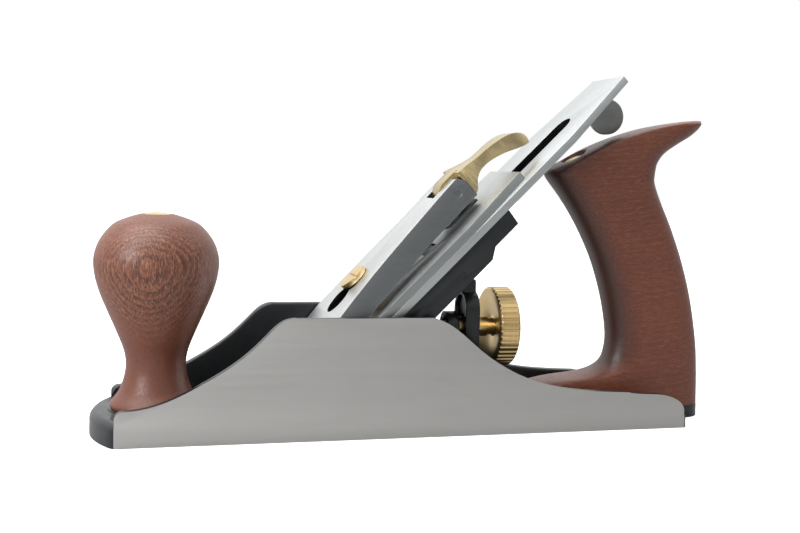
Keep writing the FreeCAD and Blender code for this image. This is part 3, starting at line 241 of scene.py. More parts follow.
def build_edge_polish():
    tree, given, out = new_group(
        "Edge polish",
        [("Vector", "NodeSocketVector", None), ("Edge", "NodeSocketFloat", 0.0),
         ("Amount", "NodeSocketFloat", 0.8)],
        [("Mask", "NodeSocketFloat")],
    )
    patchy = add_node(tree, "TexNoise", {"Vector": given["Vector"], "Scale": 260.0, "Detail": 3.0})
    broken = add_node(tree, "MapRange", {"Value": patchy.outputs["Fac"], 1: 0.3, 2: 0.62})
    worn = maths(tree, "MULTIPLY", given["Edge"], broken.outputs[0])
    join(tree, maths(tree, "MULTIPLY", worn, given["Amount"]), out["Mask"])
    return tree


GRINDING = build_grinding_lines()
HANDLING = build_handling()
EDGE_POLISH = build_edge_polish()
print("groups:", [g.name for g in bpy.data.node_groups])

# %% [markdown]
# ## Bare metals
# Steel and brass differ in colour, gloss and the direction of their scratches, so one
# function makes both. The lines move the colour and the roughness a little and stand in a
# very low bump; handling adds cloudiness; and the worn edges are brighter and smoother.

# %% Metal finishes
def metal_finish(name, colour, gloss, lines, tilt=0.0, contrast=0.16,
                 bump=0.05, cloud=0.10, edge=0.35, cloud_size=38.0, side=None):
    """A bare metal. lines stretches the scratches: they run along the axis with the small
    number. tilt turns the pattern after that stretch, so it changes which noise is met and
    not which way the scratches run. side is a darker colour for faces marked as sides, a
    painted shade on the flanks; faces marked as recesses are nearly black, a painted shade."""
    material, shader = new_finish(name, Metallic=1.0)
    tree = material.node_tree
    place = object_place(tree, scale=lines, rotation=(0, tilt, 0))
    plain = add_node(tree, "TexCoord").outputs["Object"]
    scratch = use_group(tree, GRINDING, {"Vector": place})["Lines"]
    haze = use_group(tree, HANDLING, {"Vector": plain, "Size": cloud_size})["Cloud"]
    worn = add_node(tree, "Attribute", attribute_name="edge").outputs["Fac"]
    polish = use_group(tree, EDGE_POLISH, {"Vector": plain, "Edge": worn, "Amount": edge})["Mask"]
    low = tuple(c * (1 - contrast) for c in colour)
    high = tuple(min(1.0, c * (1 + contrast)) for c in colour)
    ground = ramp(tree, scratch, [(0.32, low), (0.68, high)])
    hazed = mix_colour(tree, maths(tree, "MULTIPLY", haze, cloud), ground,
                       (*[c * 0.55 for c in colour], 1))
    # Faces marked as sides take a darker copy of the metal's colour: painted shade on the flanks.
    if side:
        side_shade_mask = add_node(tree, "Attribute", attribute_name="side").outputs["Fac"]
        shade = mix_colour(tree, scratch, (*[c * 0.9 for c in side], 1),
                           (*[c * 1.12 for c in side], 1))
        hazed = mix_colour(tree, side_shade_mask, hazed, shade)
    # Slot and keyhole walls are painted nearly black, with a little noise: painted shade in the
    # recesses.
    recess = add_node(tree, "Attribute", attribute_name="recess").outputs["Fac"]
    painted_recess_shade = ramp(tree, haze, [(0.0, (0.012, 0.012, 0.012)), (1.0, (0.030, 0.029, 0.027))])
    hazed = mix_colour(tree, recess, hazed, painted_recess_shade)
    bright = tuple(min(1.0, c * 1.35 + 0.05) for c in (side or colour))
    join(tree, mix_colour(tree, polish, hazed, (*bright, 1)), shader.inputs["Base Color"])
    rough = maths(tree, "ADD", maths(tree, "MULTIPLY", scratch, 0.14), gloss - 0.07)
    rough = maths(tree, "ADD", rough, maths(tree, "MULTIPLY", haze, 0.06))
    rough = maths(tree, "SUBTRACT", rough, maths(tree, "MULTIPLY", polish, 0.12))
    join(tree, rough, shader.inputs["Roughness"])
    relief = add_node(tree, "Bump", {"Height": scratch, "Strength": bump, "Distance": 0.0001})
    join(tree, relief.outputs[0], shader.inputs["Normal"])
    return material


BED_ANGLE = math.radians(45)
# Each side colour below is a darker copy of its steel: painted shade on the flanks.
blade_steel = metal_finish("satin ground steel", (0.60, 0.62, 0.62), 0.38, (30, 900, 900),
                           tilt=BED_ANGLE, contrast=0.05, side=(0.50, 0.52, 0.52), bump=0.03)
chip_steel = metal_finish("ground chip breaker steel", (0.58, 0.60, 0.60), 0.38,
                          (30, 900, 900), tilt=BED_ANGLE, contrast=0.06,
                          side=(0.34, 0.355, 0.355), bump=0.03)
cap_steel = metal_finish("linished cap steel", (0.62, 0.635, 0.63), 0.40, (30, 900, 900),
                         tilt=BED_ANGLE, contrast=0.06, side=(0.20, 0.21, 0.215), bump=0.03)
lever_steel = metal_finish("dull rolled steel", (0.26, 0.27, 0.26), 0.48, (120, 700, 300),
                           tilt=BED_ANGLE, contrast=0.14, cloud=0.3)
# The pin takes the colour of the lever cap's painted side shade, so its end blends with it.
pin_steel = metal_finish("flush pin steel", (0.20, 0.21, 0.215), 0.40, (500, 500, 500),
                         contrast=0.08)
spring_steel = metal_finish("blued spring steel", (0.06, 0.063, 0.07), 0.34, (40, 900, 900),
                            tilt=BED_ANGLE, edge=0.9)
screw_steel = metal_finish("turned screw steel", (0.36, 0.36, 0.35), 0.35, (900, 300, 300))
cast_brass = metal_finish("polished cast brass", (0.60, 0.485, 0.265), 0.25, (90, 900, 300),
                          tilt=BED_ANGLE, contrast=0.10, cloud=0.35, edge=0.6, cloud_size=90.0)
turned_brass = metal_finish("turned brass", (0.80, 0.60, 0.30), 0.28, (1400, 60, 60),
                            contrast=0.08, cloud=0.30, edge=0.5, cloud_size=55.0, bump=0.03)
print("metals:", [m.name for m in bpy.data.materials if m.users == 0])

# %% [markdown]
# ## Black enamel
# Castings are dipped or sprayed with a tough black enamel. It is not perfectly flat: the sand
# texture of the casting shows through as a gentle orange-peel, and sharp corners show a
# little grey iron. The gloss is a satin one.

# %% Black enamel
def enamel_surface(tree):
    """Colour, roughness and normal of the enamel, as sockets."""
    place = add_node(tree, "TexCoord").outputs["Object"]
    sand = add_node(tree, "TexNoise", {"Vector": place, "Scale": 620.0, "Detail": 4.0,
                                       "Roughness": 0.6})
    haze = use_group(tree, HANDLING, {"Vector": place, "Size": 60.0})["Cloud"]
    worn = add_node(tree, "Attribute", attribute_name="edge").outputs["Fac"]
    polish = use_group(tree, EDGE_POLISH, {"Vector": place, "Edge": worn, "Amount": 0.35})["Mask"]
    base = ramp(tree, haze, [(0.0, (0.006, 0.008, 0.009)), (1.0, (0.012, 0.015, 0.017))])
    colour = mix_colour(tree, polish, base, (0.16, 0.165, 0.17, 1))
    rough = maths(tree, "ADD", maths(tree, "MULTIPLY", sand.outputs["Fac"], 0.16), 0.23)
    relief = add_node(tree, "Bump", {"Height": sand.outputs["Fac"], "Strength": 0.22,
                                     "Distance": 0.00035})
    return colour, rough, relief.outputs[0]


def build_enamel():
    material, shader = new_finish("black enamel")
    colour, rough, normal = enamel_surface(material.node_tree)
    join(material.node_tree, colour, shader.inputs["Base Color"])
    join(material.node_tree, rough, shader.inputs["Roughness"])
    join(material.node_tree, normal, shader.inputs["Normal"])
    return material


black_enamel = build_enamel()
print("made", black_enamel.name)

# %% [markdown]
# ## The body's two finishes
# The body is one casting. Its sole and the outsides of its cheeks are ground bright after
# enamelling, so the enamel stays inside, on the toe and on the rounded rims. The boundary is
# simply where the grinding wheel reached: the outermost hundredths of a millimetre. The
# finish therefore asks where a point is, and mixes the two surfaces with that mask.

# %% Body finish
HALF_WIDTH = cad_box[1][1]
GROUND_SKIN = 0.06 * MM
TOE_CURVE = 8.5 * MM


def build_body_finish():
    material, shader = new_finish("ground and enamelled iron")
    tree = material.node_tree
    place = add_node(tree, "TexCoord").outputs["Object"]
    axes = add_node(tree, "SeparateXYZ", {"Vector": place}).outputs
    cheek = maths(tree, "GREATER_THAN", maths(tree, "ABSOLUTE", axes["Y"]), HALF_WIDTH - GROUND_SKIN)
    cheek = maths(tree, "MULTIPLY", cheek, maths(tree, "GREATER_THAN", axes["X"], TOE + TOE_CURVE))
    sole = maths(tree, "LESS_THAN", axes["Z"], GROUND_SKIN)
    ground = maths(tree, "MAXIMUM", cheek, sole)

    lines = object_place(tree, scale=(60, 900, 1500))
    scratch = use_group(tree, GRINDING, {"Vector": lines})["Lines"]
    haze = use_group(tree, HANDLING, {"Vector": place, "Size": 26.0})["Cloud"]
    iron = ramp(tree, scratch, [(0.3, (0.525, 0.520, 0.505)), (0.7, (0.555, 0.550, 0.535))])
    iron = mix_colour(tree, maths(tree, "MULTIPLY", haze, 0.16), iron, (0.46, 0.455, 0.44, 1))
    iron_rough = maths(tree, "ADD", maths(tree, "MULTIPLY", scratch, 0.16), 0.34)
    colour, rough, normal = enamel_surface(tree)
    join(tree, mix_colour(tree, ground, colour, iron), shader.inputs["Base Color"])
    steps = add_node(tree, "Mix", data_type="FLOAT")
    join(tree, ground, steps.inputs[0])
    join(tree, rough, steps.inputs[2])
    join(tree, iron_rough, steps.inputs[3])
    join(tree, steps.outputs[0], shader.inputs["Roughness"])
    join(tree, ground, shader.inputs["Metallic"])
    fine = add_node(tree, "Bump", {"Height": scratch, "Strength": 0.04, "Distance": 0.0001})
    either = mix_colour(tree, ground, normal, fine.outputs[0])
    join(tree, either, shader.inputs["Normal"])
    return material


body_finish = build_body_finish()
print("made", body_finish.name)

# %% [markdown]
# ## Wood
# Wood is a bundle of tubes in yearly rings round the pith. If we place an invisible pith line
# beside the piece, the rings are cylinders round it, and cutting them with any curved surface
# gives the true figure: a turned ball facing the pith's opposite side shows a bull's-eye, a
# flat flank shows stripes. Long thin pores run along the grain and are filled darker, and a
# few flecks are lighter. The group takes coordinates with the grain along Z and the pith at
# zero, so each piece only has to turn and move its own coordinates.

# %% Wood
def build_ring_grain():
    tree, given, out = new_group(
        "Ring grain",
        [("Vector", "NodeSocketVector", None), ("Rings", "NodeSocketFloat", 240.0),
         ("Contrast", "NodeSocketFloat", 0.6),
         ("Dark", "NodeSocketColor", (0.07, 0.022, 0.014, 1)),
         ("Light", "NodeSocketColor", (0.24, 0.095, 0.052, 1)),
         ("Fleck", "NodeSocketColor", (0.36, 0.20, 0.115, 1))],
        [("Color", "NodeSocketColor"), ("Height", "NodeSocketFloat"),
         ("Pores", "NodeSocketFloat")],
    )
    wobble = add_node(tree, "TexNoise", {"Vector": given["Vector"], "Scale": 45.0, "Detail": 3.0})
    shift = add_node(tree, "VectorMath", operation="SCALE",
                     inputs={0: wobble.outputs["Color"], "Scale": 0.0022})
    bent = add_node(tree, "VectorMath", operation="ADD",
                    inputs={0: given["Vector"], 1: shift.outputs[0]}).outputs[0]
    rings = add_node(tree, "TexWave", {"Vector": bent, "Scale": given["Rings"],
                                       "Distortion": 1.2, "Detail": 2.0, "Detail Scale": 1.5},
                     wave_type="RINGS", rings_direction="Z", wave_profile="SAW")
    late = add_node(tree, "MapRange", {"Value": rings.outputs["Fac"], 1: 0.15, 2: 0.95}).outputs[0]

    def streaks(across, along, detail):
        stretch = add_node(tree, "VectorMath", operation="MULTIPLY",
                           inputs={0: bent, 1: (across, across, along)})
        return add_node(tree, "TexNoise", {"Vector": stretch.outputs[0], "Scale": 1.0,
                                           "Detail": detail, "Roughness": 0.6}).outputs["Fac"]

    pore = add_node(tree, "MapRange", {"Value": streaks(2300.0, 420.0, 2.0), 1: 0.55, 2: 0.68})
    pore = maths(tree, "MULTIPLY", pore.outputs[0],
                 maths(tree, "SUBTRACT", 1.15, maths(tree, "MULTIPLY", late, 0.8)))
    fleck = add_node(tree, "MapRange", {"Value": streaks(1900.0, 330.0, 3.0), 1: 0.50, 2: 0.68})
    fibre = streaks(500.0, 14.0, 4.0)
    broad = add_node(tree, "TexNoise", {"Vector": given["Vector"], "Scale": 22.0, "Detail": 2.0})
    tone = maths(tree, "ADD", maths(tree, "MULTIPLY", late, given["Contrast"]),
                 maths(tree, "MULTIPLY", fibre, 0.5))
    tone = maths(tree, "ADD", tone, maths(tree, "MULTIPLY", broad.outputs["Fac"], 0.45))
    tone = add_node(tree, "MapRange", {"Value": tone, 1: 0.30, 2: 1.25}).outputs[0]
    colour = mix_colour(tree, tone, given["Light"], given["Dark"])
    lift = maths(tree, "MULTIPLY", fleck.outputs[0], given["Contrast"])
    lifted = mix_colour(tree, maths(tree, "MULTIPLY", lift, 0.8), colour, given["Fleck"])
    sunk = maths(tree, "ADD", maths(tree, "MULTIPLY", given["Contrast"], 0.7), 0.15)
    dark = mix_colour(tree, maths(tree, "MULTIPLY", pore, sunk), lifted,
                      (0.040, 0.014, 0.010, 1))
    join(tree, dark, out["Color"])
    join(tree, maths(tree, "SUBTRACT", 1.0, pore), out["Height"])
    join(tree, pore, out["Pores"])
    return tree


RING_GRAIN = build_ring_grain()


def wood_finish(name, pith, turn, rings, contrast, dark, light, figure_and_shade=None):
    """A lacquered wood whose pith passes through a point, with the grain turned as asked.
    figure is a place and a distance: the strong flecks fade away from it, and farther out
    the colour darkens towards dark, a painted shade on the knob's neck and far side."""
    material, shader = new_finish(name, Coat_Roughness=0.28)
    tree = material.node_tree
    if figure_and_shade:
        away = add_node(tree, "VectorMath", operation="DISTANCE", inputs={
            0: add_node(tree, "TexCoord").outputs["Object"], 1: figure_and_shade[0]}).outputs["Value"]
        contrast = add_node(tree, "MapRange", {
            "Value": away, 1: 0.45 * figure_and_shade[1], 2: figure_and_shade[1], 3: contrast, 4: 0.10},
            interpolation_type="SMOOTHSTEP").outputs[0]
    centred = add_node(tree, "Mapping", vector_type="POINT", inputs={
        "Vector": add_node(tree, "TexCoord").outputs["Object"],
        "Location": tuple(-p for p in pith)}).outputs[0]
    turned_place = add_node(tree, "Mapping", {"Vector": centred, "Rotation": turn}).outputs[0]
    grain = use_group(tree, RING_GRAIN, {"Vector": turned_place, "Rings": rings,
                                         "Contrast": contrast, "Dark": (*dark, 1),
                                         "Light": (*light, 1)})
    # Front-facing parts of the tote are darkened almost to black: painted shade.
    front_shade_mask = add_node(tree, "Attribute", attribute_name="front_shade").outputs["Fac"]
    shaded_grain = mix_colour(tree, maths(tree, "MULTIPLY", front_shade_mask, 0.8), grain["Color"],
                        (0.016, 0.007, 0.006, 1))
    if figure_and_shade:
        # Away from the figure the knob's colour moves halfway to its dark colour: painted shade on
        # the neck and far side.
        plain = add_node(tree, "MapRange", {
            "Value": away, 1: 0.5 * figure_and_shade[1], 2: 1.2 * figure_and_shade[1], 3: 0.0, 4: 0.5},
            interpolation_type="SMOOTHSTEP").outputs[0]
        shaded_grain = mix_colour(tree, plain, shaded_grain, (*dark, 1))
    join(tree, shaded_grain, shader.inputs["Base Color"])
    rough = maths(tree, "ADD", maths(tree, "MULTIPLY", grain["Pores"], 0.25), 0.42)
    join(tree, rough, shader.inputs["Roughness"])
    coat = maths(tree, "SUBTRACT", 0.16, maths(tree, "MULTIPLY", grain["Pores"], 0.12))
    join(tree, coat, shader.inputs["Coat Weight"])
    relief = add_node(tree, "Bump", {"Height": grain["Height"], "Strength": 0.25,
                                     "Distance": 0.0002})
    join(tree, relief.outputs[0], shader.inputs["Normal"])
    return material


knob_low, knob_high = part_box("front_knob")
KNOB_X = (knob_low[0] + knob_high[0]) / 2
knob_wood = wood_finish("figured knob wood", pith=(KNOB_X + 0.012, 0.0625, 0), turn=(0, 0, 0),
                        rings=270.0, contrast=0.85, dark=(0.085, 0.021, 0.012),
                        light=(0.230, 0.072, 0.036),
                        figure_and_shade=((KNOB_X - 0.004, -0.024, 0.064), 0.034))
tote_wood = wood_finish("straight tote wood", pith=(0, 0.070, -0.120),
                        turn=(0, math.radians(-84), 0), rings=150.0, contrast=0.22,
                        dark=(0.052, 0.0115, 0.0058), light=(0.165, 0.041, 0.0175))
print("woods:", knob_wood.name, "and", tote_wood.name)

# %% [markdown]
# ## Softened edges
# A machined corner is never perfectly sharp: it catches a thin line of light. The model's
# meshes are loose triangles, so we copy one, weld it, melt the flat areas into whole faces,
# and bevel only the edges that turn sharply. The narrow new faces are marked with the edge
# attribute, faces that look sideways near a piece's flank with side, for a painted shade on
# the flanks, and the walls of a slot or a keyhole with recess, for a near-black painted shade.
# A copy replaces its model piece and rides on its body.

# %% Softened copies of the model's pieces
BODY_OF = {node: body for body, nodes in frame["record"]["behaviour"]["bodies"].items()
           for node in nodes}


def settle(piece, node, finish):
    """Give a new piece its finish, its body and the model piece it stands for."""
    piece.data.materials.clear()
    piece.data.materials.append(finish)
    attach(piece, BODY_OF[node])
    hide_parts(node)
    return piece


def piece_from(shape, name, smooth_angle=35.0):
    """A new object from a bmesh, shaded smooth apart from its sharp edges."""
    mesh = bpy.data.meshes.new(name)
    shape.to_mesh(mesh)
    shape.free()
    mesh.shade_smooth()
    mesh.set_sharp_from_angle(angle=math.radians(smooth_angle))
    piece = bpy.data.objects.new(name, mesh)
    bpy.context.collection.objects.link(piece)
    return piece


BED_NORMAL = Vector((-1, 0, 1)).normalized()
SLOTTED = ("plane_iron", "lever_cap")
SIDE_STARTS = 0.36
RECESS_ENDS = 0.34
WELD, SLIVER = 0.002 * MM, 0.01 * MM
FLAT_ANGLE = math.radians(0.6)
SHARP_ANGLE = math.radians(28.0)


def soften(node, width, finish):
    """A welded copy of a model piece with its sharp edges rounded by width, in mm.
    SIDE_STARTS and RECESS_ENDS are shares of the piece's half width."""
    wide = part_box(node)[1][1]
    shape = bmesh.new()
    shape.from_mesh(frame["nodes"][node].data)
    bmesh.ops.remove_doubles(shape, verts=shape.verts, dist=WELD)
    bmesh.ops.dissolve_limit(shape, angle_limit=FLAT_ANGLE, use_dissolve_boundaries=False,
                             verts=shape.verts, edges=shape.edges)
    bmesh.ops.dissolve_degenerate(shape, dist=SLIVER, edges=shape.edges)
    edge_mark = shape.faces.layers.float.new("edge")
    side_shade_mark = shape.faces.layers.float.new("side")
    recess_shade_mark = shape.faces.layers.float.new("recess")
    sharp = [e for e in shape.edges
             if len(e.link_faces) == 2 and e.calc_face_angle(0.0) > SHARP_ANGLE]
    made = bmesh.ops.bevel(shape, geom=sharp, offset=width * MM, offset_type="OFFSET",
                           affect="EDGES", segments=2, profile=0.5, material=-1,
                           clamp_overlap=True)
    for face in made["faces"]:
        face[edge_mark] = 1.0
    for face in shape.faces:
        middle = face.calc_center_median()
        # Sideways faces near the flank are marked for painted shade, and slot walls for a near-black
        # painted shade.
        if abs(face.normal.y) > 0.6 and abs(middle.y) > SIDE_STARTS * wide:
            face[side_shade_mark] = 1.0
        across = abs(face.normal.dot(BED_NORMAL))
        if node in SLOTTED and across < 0.5 and abs(middle.y) < RECESS_ENDS * wide:
            face[recess_shade_mark] = 1.0
    faces = len(shape.faces)
    piece = settle(piece_from(shape, "soft_" + node), node, finish)
    print(f"softened {node}: {len(sharp)} edges, {faces} faces")
    return piece


SOFTENED = [
    ("plane_body", 0.20, body_finish), ("frog", 0.55, black_enamel),
    ("yoke", 0.30, black_enamel), ("plane_iron", 0.12, blade_steel),
    ("cap_iron", 0.15, chip_steel), ("lever_cap", 0.30, cap_steel),
    ("cam_lever", 0.6, cast_brass), ("lever_cap_screw", 0.20, turned_brass),
    ("lateral_lever", 0.25, lever_steel), ("lateral_roller", 0.15, lever_steel),
    ("cap_iron_screw", 0.25, screw_steel), ("knob_nut", 0.15, turned_brass),
    ("tote_nut", 0.15, turned_brass), ("frog_adjusting_screw", 0.2, screw_steel),
    ("frog_plate", 0.2, lever_steel), ("frog_plate_screw", 0.15, screw_steel),
    ("frog_lock_screws", 0.2, screw_steel),
]
for node, width, finish in SOFTENED:
    soften(node, width, finish)

# %% [markdown]
# ## Small hidden pieces
# Pins, rods and rivets show only their ends and the flat spring only its edge, and their
# shape is already right, so they keep the model's mesh and only take a finish.

# %% Finishes on pieces that keep the model's mesh
KEPT = {"cam_pin": pin_steel, "yoke_pin": black_enamel, "lateral_rivet": screw_steel,
        "spring_rivet": screw_steel, "depth_stud": screw_steel, "knob_stud": screw_steel,
        "tote_stud": screw_steel, "frog_pins": screw_steel, "lever_cap_spring": spring_steel}
for node, finish in KEPT.items():
    for slot in frame["nodes"][node].material_slots:
        slot.material = finish
print("finished in place:", len(KEPT))

# %% [markdown]
# ## The front knob
# The knob is turned on a lathe, so it is one outline spun round an axis. A smooth curve is
# passed through a few points of its flank. The outline starts at the bore in the foot and
# ends in the counterbore at the top, so the skin is closed round the hole.

# %% Turned pieces
def smooth_line(points, steps):
    """Points along a smooth curve that passes through the given points."""
    padded = [points[0], *points, points[-1]]
    line = []
    for a, b, c, d in zip(padded, padded[1:], padded[2:], padded[3:]):
        for step in range(steps):
            t = step / steps
            line.append(tuple(
                0.5 * (2 * q + (r - p) * t + (2 * p - 5 * q + 4 * r - s) * t * t
                       + (3 * q - p - 3 * r + s) * t ** 3)
                for p, q, r, s in zip(a, b, c, d)))
    line.append(tuple(points[-1]))
    return line


def turn(outline, steps, centre=(0, 0, 0), axis="Z"):
    """Spin a closed outline of (radius, place along the axis) in mm round Z or X; a bmesh."""
    shape = bmesh.new()
    if axis == "Z":
        spin_axis = (0, 0, 1)
        corners = [Vector((r * MM, 0, z * MM)) for r, z in outline]
    else:
        spin_axis = (1, 0, 0)
        corners = [Vector((x * MM, 0, r * MM)) for r, x in outline]
    verts = [shape.verts.new(c) for c in corners]
    edges = [shape.edges.new((verts[i - 1], verts[i])) for i in range(len(verts))]
    bmesh.ops.spin(shape, geom=verts + edges, cent=(0, 0, 0), axis=spin_axis, dvec=(0, 0, 0),
                   angle=2 * math.pi, steps=steps, use_merge=True)
    bmesh.ops.remove_doubles(shape, verts=shape.verts, dist=1e-6)
    bmesh.ops.recalc_face_normals(shape, faces=shape.faces)
    bmesh.ops.translate(shape, verts=shape.verts, vec=centre)
    return shape


KNOB_SEAT = knob_low[2] / MM
KNOB_STEPS = 96


def make_knob():
    skin = [(16.9, 0.0), (17.3, 0.6), (17.05, 2.4), (14.05, 6.6), (12.1, 12.2), (11.5, 17.2),
            (12.3, 22.5), (15.2, 30.0), (18.47, 37.5), (21.75, 45.6), (23.5, 52.6),
            (23.65, 58.7), (21.55, 64.9), (16.85, 70.7), (11.87, 73.3), (6.5, 75.0)]
    outline = [(3.2, 0.0)] + smooth_line(skin, 5)
    outline += [(5.8, 74.8), (5.8, 71.2), (4.3, 71.2), (4.3, 65.0), (3.2, 65.0)]
    outline = [(r, z + KNOB_SEAT) for r, z in outline]
    shape = turn(outline, KNOB_STEPS, centre=(KNOB_X, 0, 0))
    return settle(piece_from(shape, "turned_knob"), "front_knob", knob_wood)


knob = make_knob()
print("knob faces:", len(knob.data.polygons))

# %% [markdown]
# ## The tote
# The rear handle is sawn from a board and shaped by hand, so level slices through it are long
# ovals that slide forwards and back as they rise. Here each slice starts as a circle, is
# stretched to its own length and squared a little, and neighbouring slices are bridged. Near
# the top the front end of each slice is blunter, which leaves the narrow flat on the top.

# %% The tote
TOTE_SLICES = [
    # height, then distances forward of the heel's end to the slice's front and back
    (5.0, 87.4, 0.3), (9.0, 88.0, 0.4), (12.5, 85.8, 0.5), (15.2, 80.6, 0.6),
    (17.0, 71.2, 0.7), (18.4, 59.2, 0.7), (20.6, 50.6, 0.9), (24.0, 45.4, 1.1),
    (29.0, 43.4, 1.5), (36.0, 43.0, 2.5), (47.0, 44.8, 4.6), (58.0, 47.8, 7.4),
    (70.0, 52.3, 11.4), (83.0, 59.2, 16.8), (94.0, 66.6, 22.2), (101.0, 72.3, 25.0),
    (104.4, 73.6, 25.1), (107.0, 70.6, 24.8), (110.0, 65.0, 24.0), (114.0, 57.8, 21.0),
    (118.0, 49.0, 15.2), (121.5, 39.6, 9.4), (124.5, 29.6, 6.0), (126.8, 18.6, 4.9),
    (128.2, 10.0, 5.1),
]
TOTE_HALF = 10.5
SLICE_POINTS = 64


def oval_point(angle, front, back, height):
    """A point of a slice's outline, in mm."""
    length = back - front
    wide = TOTE_HALF * min(1.0, 0.5 + 0.035 * length)
    blunt = min(1.0, max(0.0, (height - 100.0) / 8.0))
    c, s = math.cos(angle), math.sin(angle)
    nose = min(15.0, 0.48 * length)
    if c < 0:
        nose += (min(4.5, 0.4 * length) - nose) * blunt
    along = 0.86 - (0.14 * blunt if c < 0 else 0.0)
    x = math.copysign(length / 2 - nose + nose * abs(c) ** along, c) if abs(c) > 1e-6 else 0.0
    return (front + back) / 2 + x, math.copysign(wide * abs(s) ** 0.8, s)


NUT_LEAN = math.radians(23.0)
SEAT_RADIUS = 5.95 * MM
SEAT_DEPTH = 4.2 * MM
CUTTER_LENGTH = 30 * MM


def sink_nut_hole(tote):
    """Cut the round seat for the brass nut, which leans with the rod below it."""
    low, high = (Vector(corner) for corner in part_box("tote_nut"))
    axis = Vector((-math.sin(NUT_LEAN), 0, math.cos(NUT_LEAN)))
    seat = (low + high) / 2 - axis * SEAT_DEPTH
    shape = bmesh.new()
    bmesh.ops.create_cone(shape, cap_ends=True, segments=64, radius1=SEAT_RADIUS,
                          radius2=SEAT_RADIUS, depth=CUTTER_LENGTH)
    tilt = Vector((0, 0, 1)).rotation_difference(axis).to_matrix()
    bmesh.ops.rotate(shape, verts=shape.verts, cent=(0, 0, 0), matrix=tilt)
    bmesh.ops.translate(shape, verts=shape.verts, vec=seat + axis * CUTTER_LENGTH / 2)
    cutter = piece_from(shape, "nut_seat_cutter")
    cut = tote.modifiers.new("seat", "BOOLEAN")
    cut.object = cutter
    cut.solver = "EXACT"
    bpy.context.view_layer.update()
    result = bpy.data.meshes.new_from_object(tote.evaluated_get(
        bpy.context.evaluated_depsgraph_get()))
    tote.modifiers.clear()
    tote.data = result
    bpy.data.objects.remove(cutter)


def make_tote():
    shape = bmesh.new()
    rings = []
    for height, front, back in smooth_line(TOTE_SLICES, 3):
        ring = bmesh.ops.create_circle(shape, segments=SLICE_POINTS, radius=1.0)["verts"]
        for number, vert in enumerate(ring):
            angle = 2 * math.pi * number / SLICE_POINTS
            x, y = oval_point(angle, HEEL_END / MM - front, HEEL_END / MM - back, height)
            vert.co = (x * MM, y * MM, height * MM)
        rings.append(ring)
    for lower, upper in zip(rings, rings[1:]):
        edges = [e for ring in (lower, upper) for v in ring for e in v.link_edges
                 if e.other_vert(v) in set(ring)]
        bmesh.ops.bridge_loops(shape, edges=list(set(edges)))
    for ring in (rings[0], rings[-1]):
        bmesh.ops.contextual_create(shape, geom=ring)
    bmesh.ops.recalc_face_normals(shape, faces=shape.faces)
    shape.normal_update()
    # Each vertex's lean towards the front sets how much painted shade the tote's finish gets there.
    front_shade = shape.verts.layers.float.new("front_shade")
    for vert in shape.verts:
        vert[front_shade] = min(1.0, max(0.0, (-vert.normal.x - 0.05) / 0.6))
    tote = piece_from(shape, "shaped_tote", 60.0)
    sink_nut_hole(tote)
    return settle(tote, "tote", tote_wood)


tote = make_tote()
print("tote faces:", len(tote.data.polygons))

# %% [markdown]
# ## The depth wheel
# The wheel is turned from brass bar: a grooved hub that the yoke rides in, a coned front face,
# and a rim with straight knurling, pressed in by a toothed roller. The turned form is one
# spun outline, with six steps to each rib. Around the rim, the vertices of two steps in
# every six are drawn in slightly, which leaves a groove beside each rib, as the roller does.

# %% The depth wheel
wheel_low, wheel_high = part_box("depth_wheel")
WHEEL_X = wheel_low[0] / MM
WHEEL_Z = (wheel_low[2] + wheel_high[2]) / 2 / MM
WHEEL_R = (wheel_high[2] - wheel_low[2]) / 2 / MM
RIBS = 44
RIB_STEPS = 6
RIM_WIDTH = 8.8
KNURL_DEPTH = 0.55


def make_wheel():
    hub, groove, rim = 4.2, 2.9, WHEEL_R
    back = wheel_high[0] / MM - WHEEL_X
    front = back - RIM_WIDTH
    rise = [(2.35, 0.0), (3.9, 0.0), (hub, 0.3), (hub, 2.6), (4.0, 2.8), (groove, 2.8),
            (groove, 8.7), (4.0, 8.7), (hub, 8.9), (hub, front - 0.9),
            (4.0, front - 0.7), (3.6, front - 0.6), (3.6, front + 1.9), (4.4, front + 2.2),
            (rim - 3.2, front + 0.05), (rim - 2.2, front), (rim - 0.9, front + 0.1),
            (rim - 0.4, front + 0.4), (rim, front + 0.8), (rim, back - 0.9),
            (rim - 0.5, back - 0.3), (rim - 1.0, back), (rim - 3.6, back),
            (rim - 4.4, back - 0.4), (6.2, back - 1.6), (2.35, back - 1.6)]
    outline = [(r, x + WHEEL_X) for r, x in rise]
    shape = turn(outline, RIBS * RIB_STEPS, axis="X")
    for vert in shape.verts:
        radius = math.hypot(vert.co.y, vert.co.z) / MM
        around = math.atan2(vert.co.y, vert.co.z) / (2 * math.pi)
        step = round(around * RIBS * RIB_STEPS) % RIB_STEPS
        if radius > rim - 0.1 and step in (0, 1):
            vert.co.y *= (rim - KNURL_DEPTH) / rim
            vert.co.z *= (rim - KNURL_DEPTH) / rim
    bmesh.ops.translate(shape, verts=shape.verts, vec=(0, 0, WHEEL_Z * MM))
    piece = piece_from(shape, "knurled_wheel", 25.0)
    return settle(piece, "depth_wheel", turned_brass)


wheel = make_wheel()
print("wheel faces:", len(wheel.data.polygons))

# %% [markdown]
# ## Bench and light
# The tool stands on a bench that runs out of sight. The camera sees it and the surroundings
# as white; every other ray sees a grey bench, and surroundings that are brighter behind the
# tool and above it than in front, because bare metal shows whatever it mirrors. One broad
# lamp hangs overhead and to the left, and a smaller one stands at the front left.

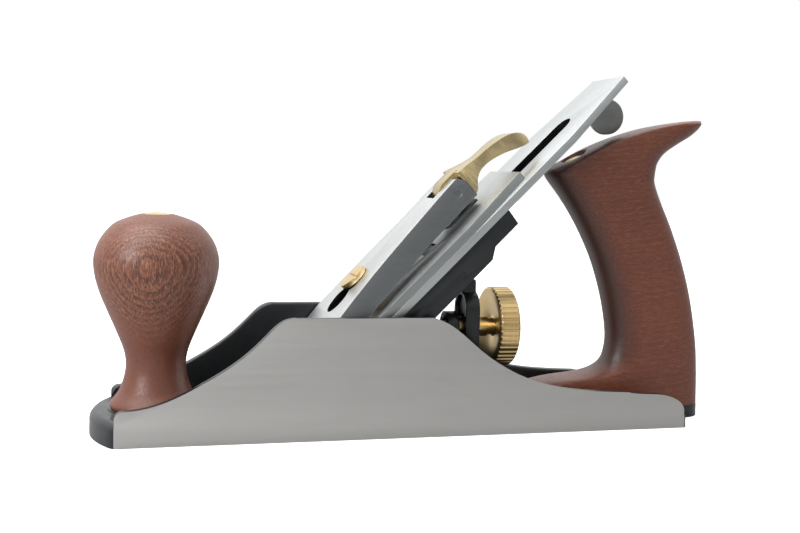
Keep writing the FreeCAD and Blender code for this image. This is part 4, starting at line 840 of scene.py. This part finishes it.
# %% Bench and light
def add_bench():
    shape = bmesh.new()
    bmesh.ops.create_grid(shape, x_segments=1, y_segments=1, size=4.0)
    bmesh.ops.translate(shape, verts=shape.verts, vec=(0, 0, -0.00005))
    bench = piece_from(shape, "bench")
    material, shader = new_finish("white bench", Roughness=0.75)
    tree = material.node_tree
    shader.inputs["Emission Color"].default_value = (1, 1, 1, 1)
    seen = add_node(tree, "LightPath").outputs["Is Camera Ray"]
    shade = mix_colour(tree, seen, (0.42, 0.42, 0.42, 1), (0.86, 0.87, 0.88, 1))
    join(tree, shade, shader.inputs["Base Color"])
    join(tree, maths(tree, "MULTIPLY", seen, 0.56), shader.inputs["Emission Strength"])
    bench.data.materials.append(material)


def add_lamp(name, place, target, size, power):
    data = bpy.data.lights.new(name, "AREA")
    data.shape = "RECTANGLE"
    data.size, data.size_y = size
    data.energy = power
    lamp = bpy.data.objects.new(name, data)
    lamp.location = place
    aim = Vector(target) - Vector(place)
    lamp.rotation_euler = aim.to_track_quat("-Z", "Y").to_euler()
    bpy.context.collection.objects.link(lamp)


def add_surroundings():
    world = bpy.data.worlds.new("studio")
    bpy.context.scene.world = world
    world.use_nodes = True
    tree = world.node_tree
    tree.nodes.clear()
    direction = add_node(tree, "TexCoord").outputs["Generated"]
    axes = add_node(tree, "SeparateXYZ", {"Vector": direction}).outputs
    behind = add_node(tree, "MapRange", {"Value": axes["Y"], 1: -0.6, 2: 0.9, 3: 0.40, 4: 0.95},
                      interpolation_type="SMOOTHSTEP").outputs[0]
    above = add_node(tree, "MapRange", {"Value": axes["Z"], 1: 0.1, 2: 0.95, 3: 0.0, 4: 0.55})
    sky = maths(tree, "ADD", behind, above.outputs[0])
    soft = add_node(tree, "Background", {"Color": (1, 1, 1, 1), "Strength": sky})
    white = add_node(tree, "Background", {"Color": (1, 1, 1, 1), "Strength": 1.0})
    seen = add_node(tree, "LightPath").outputs["Is Camera Ray"]
    either = add_node(tree, "MixShader", {0: seen, 1: soft.outputs[0], 2: white.outputs[0]})
    join(tree, either.outputs[0], add_node(tree, "OutputWorld").inputs["Surface"])


add_bench()
add_surroundings()
add_lamp("overhead", (-0.40, -0.10, 0.95), (0, 0, 0.05), (0.9, 0.9), 8.0)
add_lamp("front left", (-0.95, -0.60, 0.50), (0, 0, 0.05), (0.5, 0.5), 7.0)
bpy.context.scene.view_settings.view_transform = "Standard"
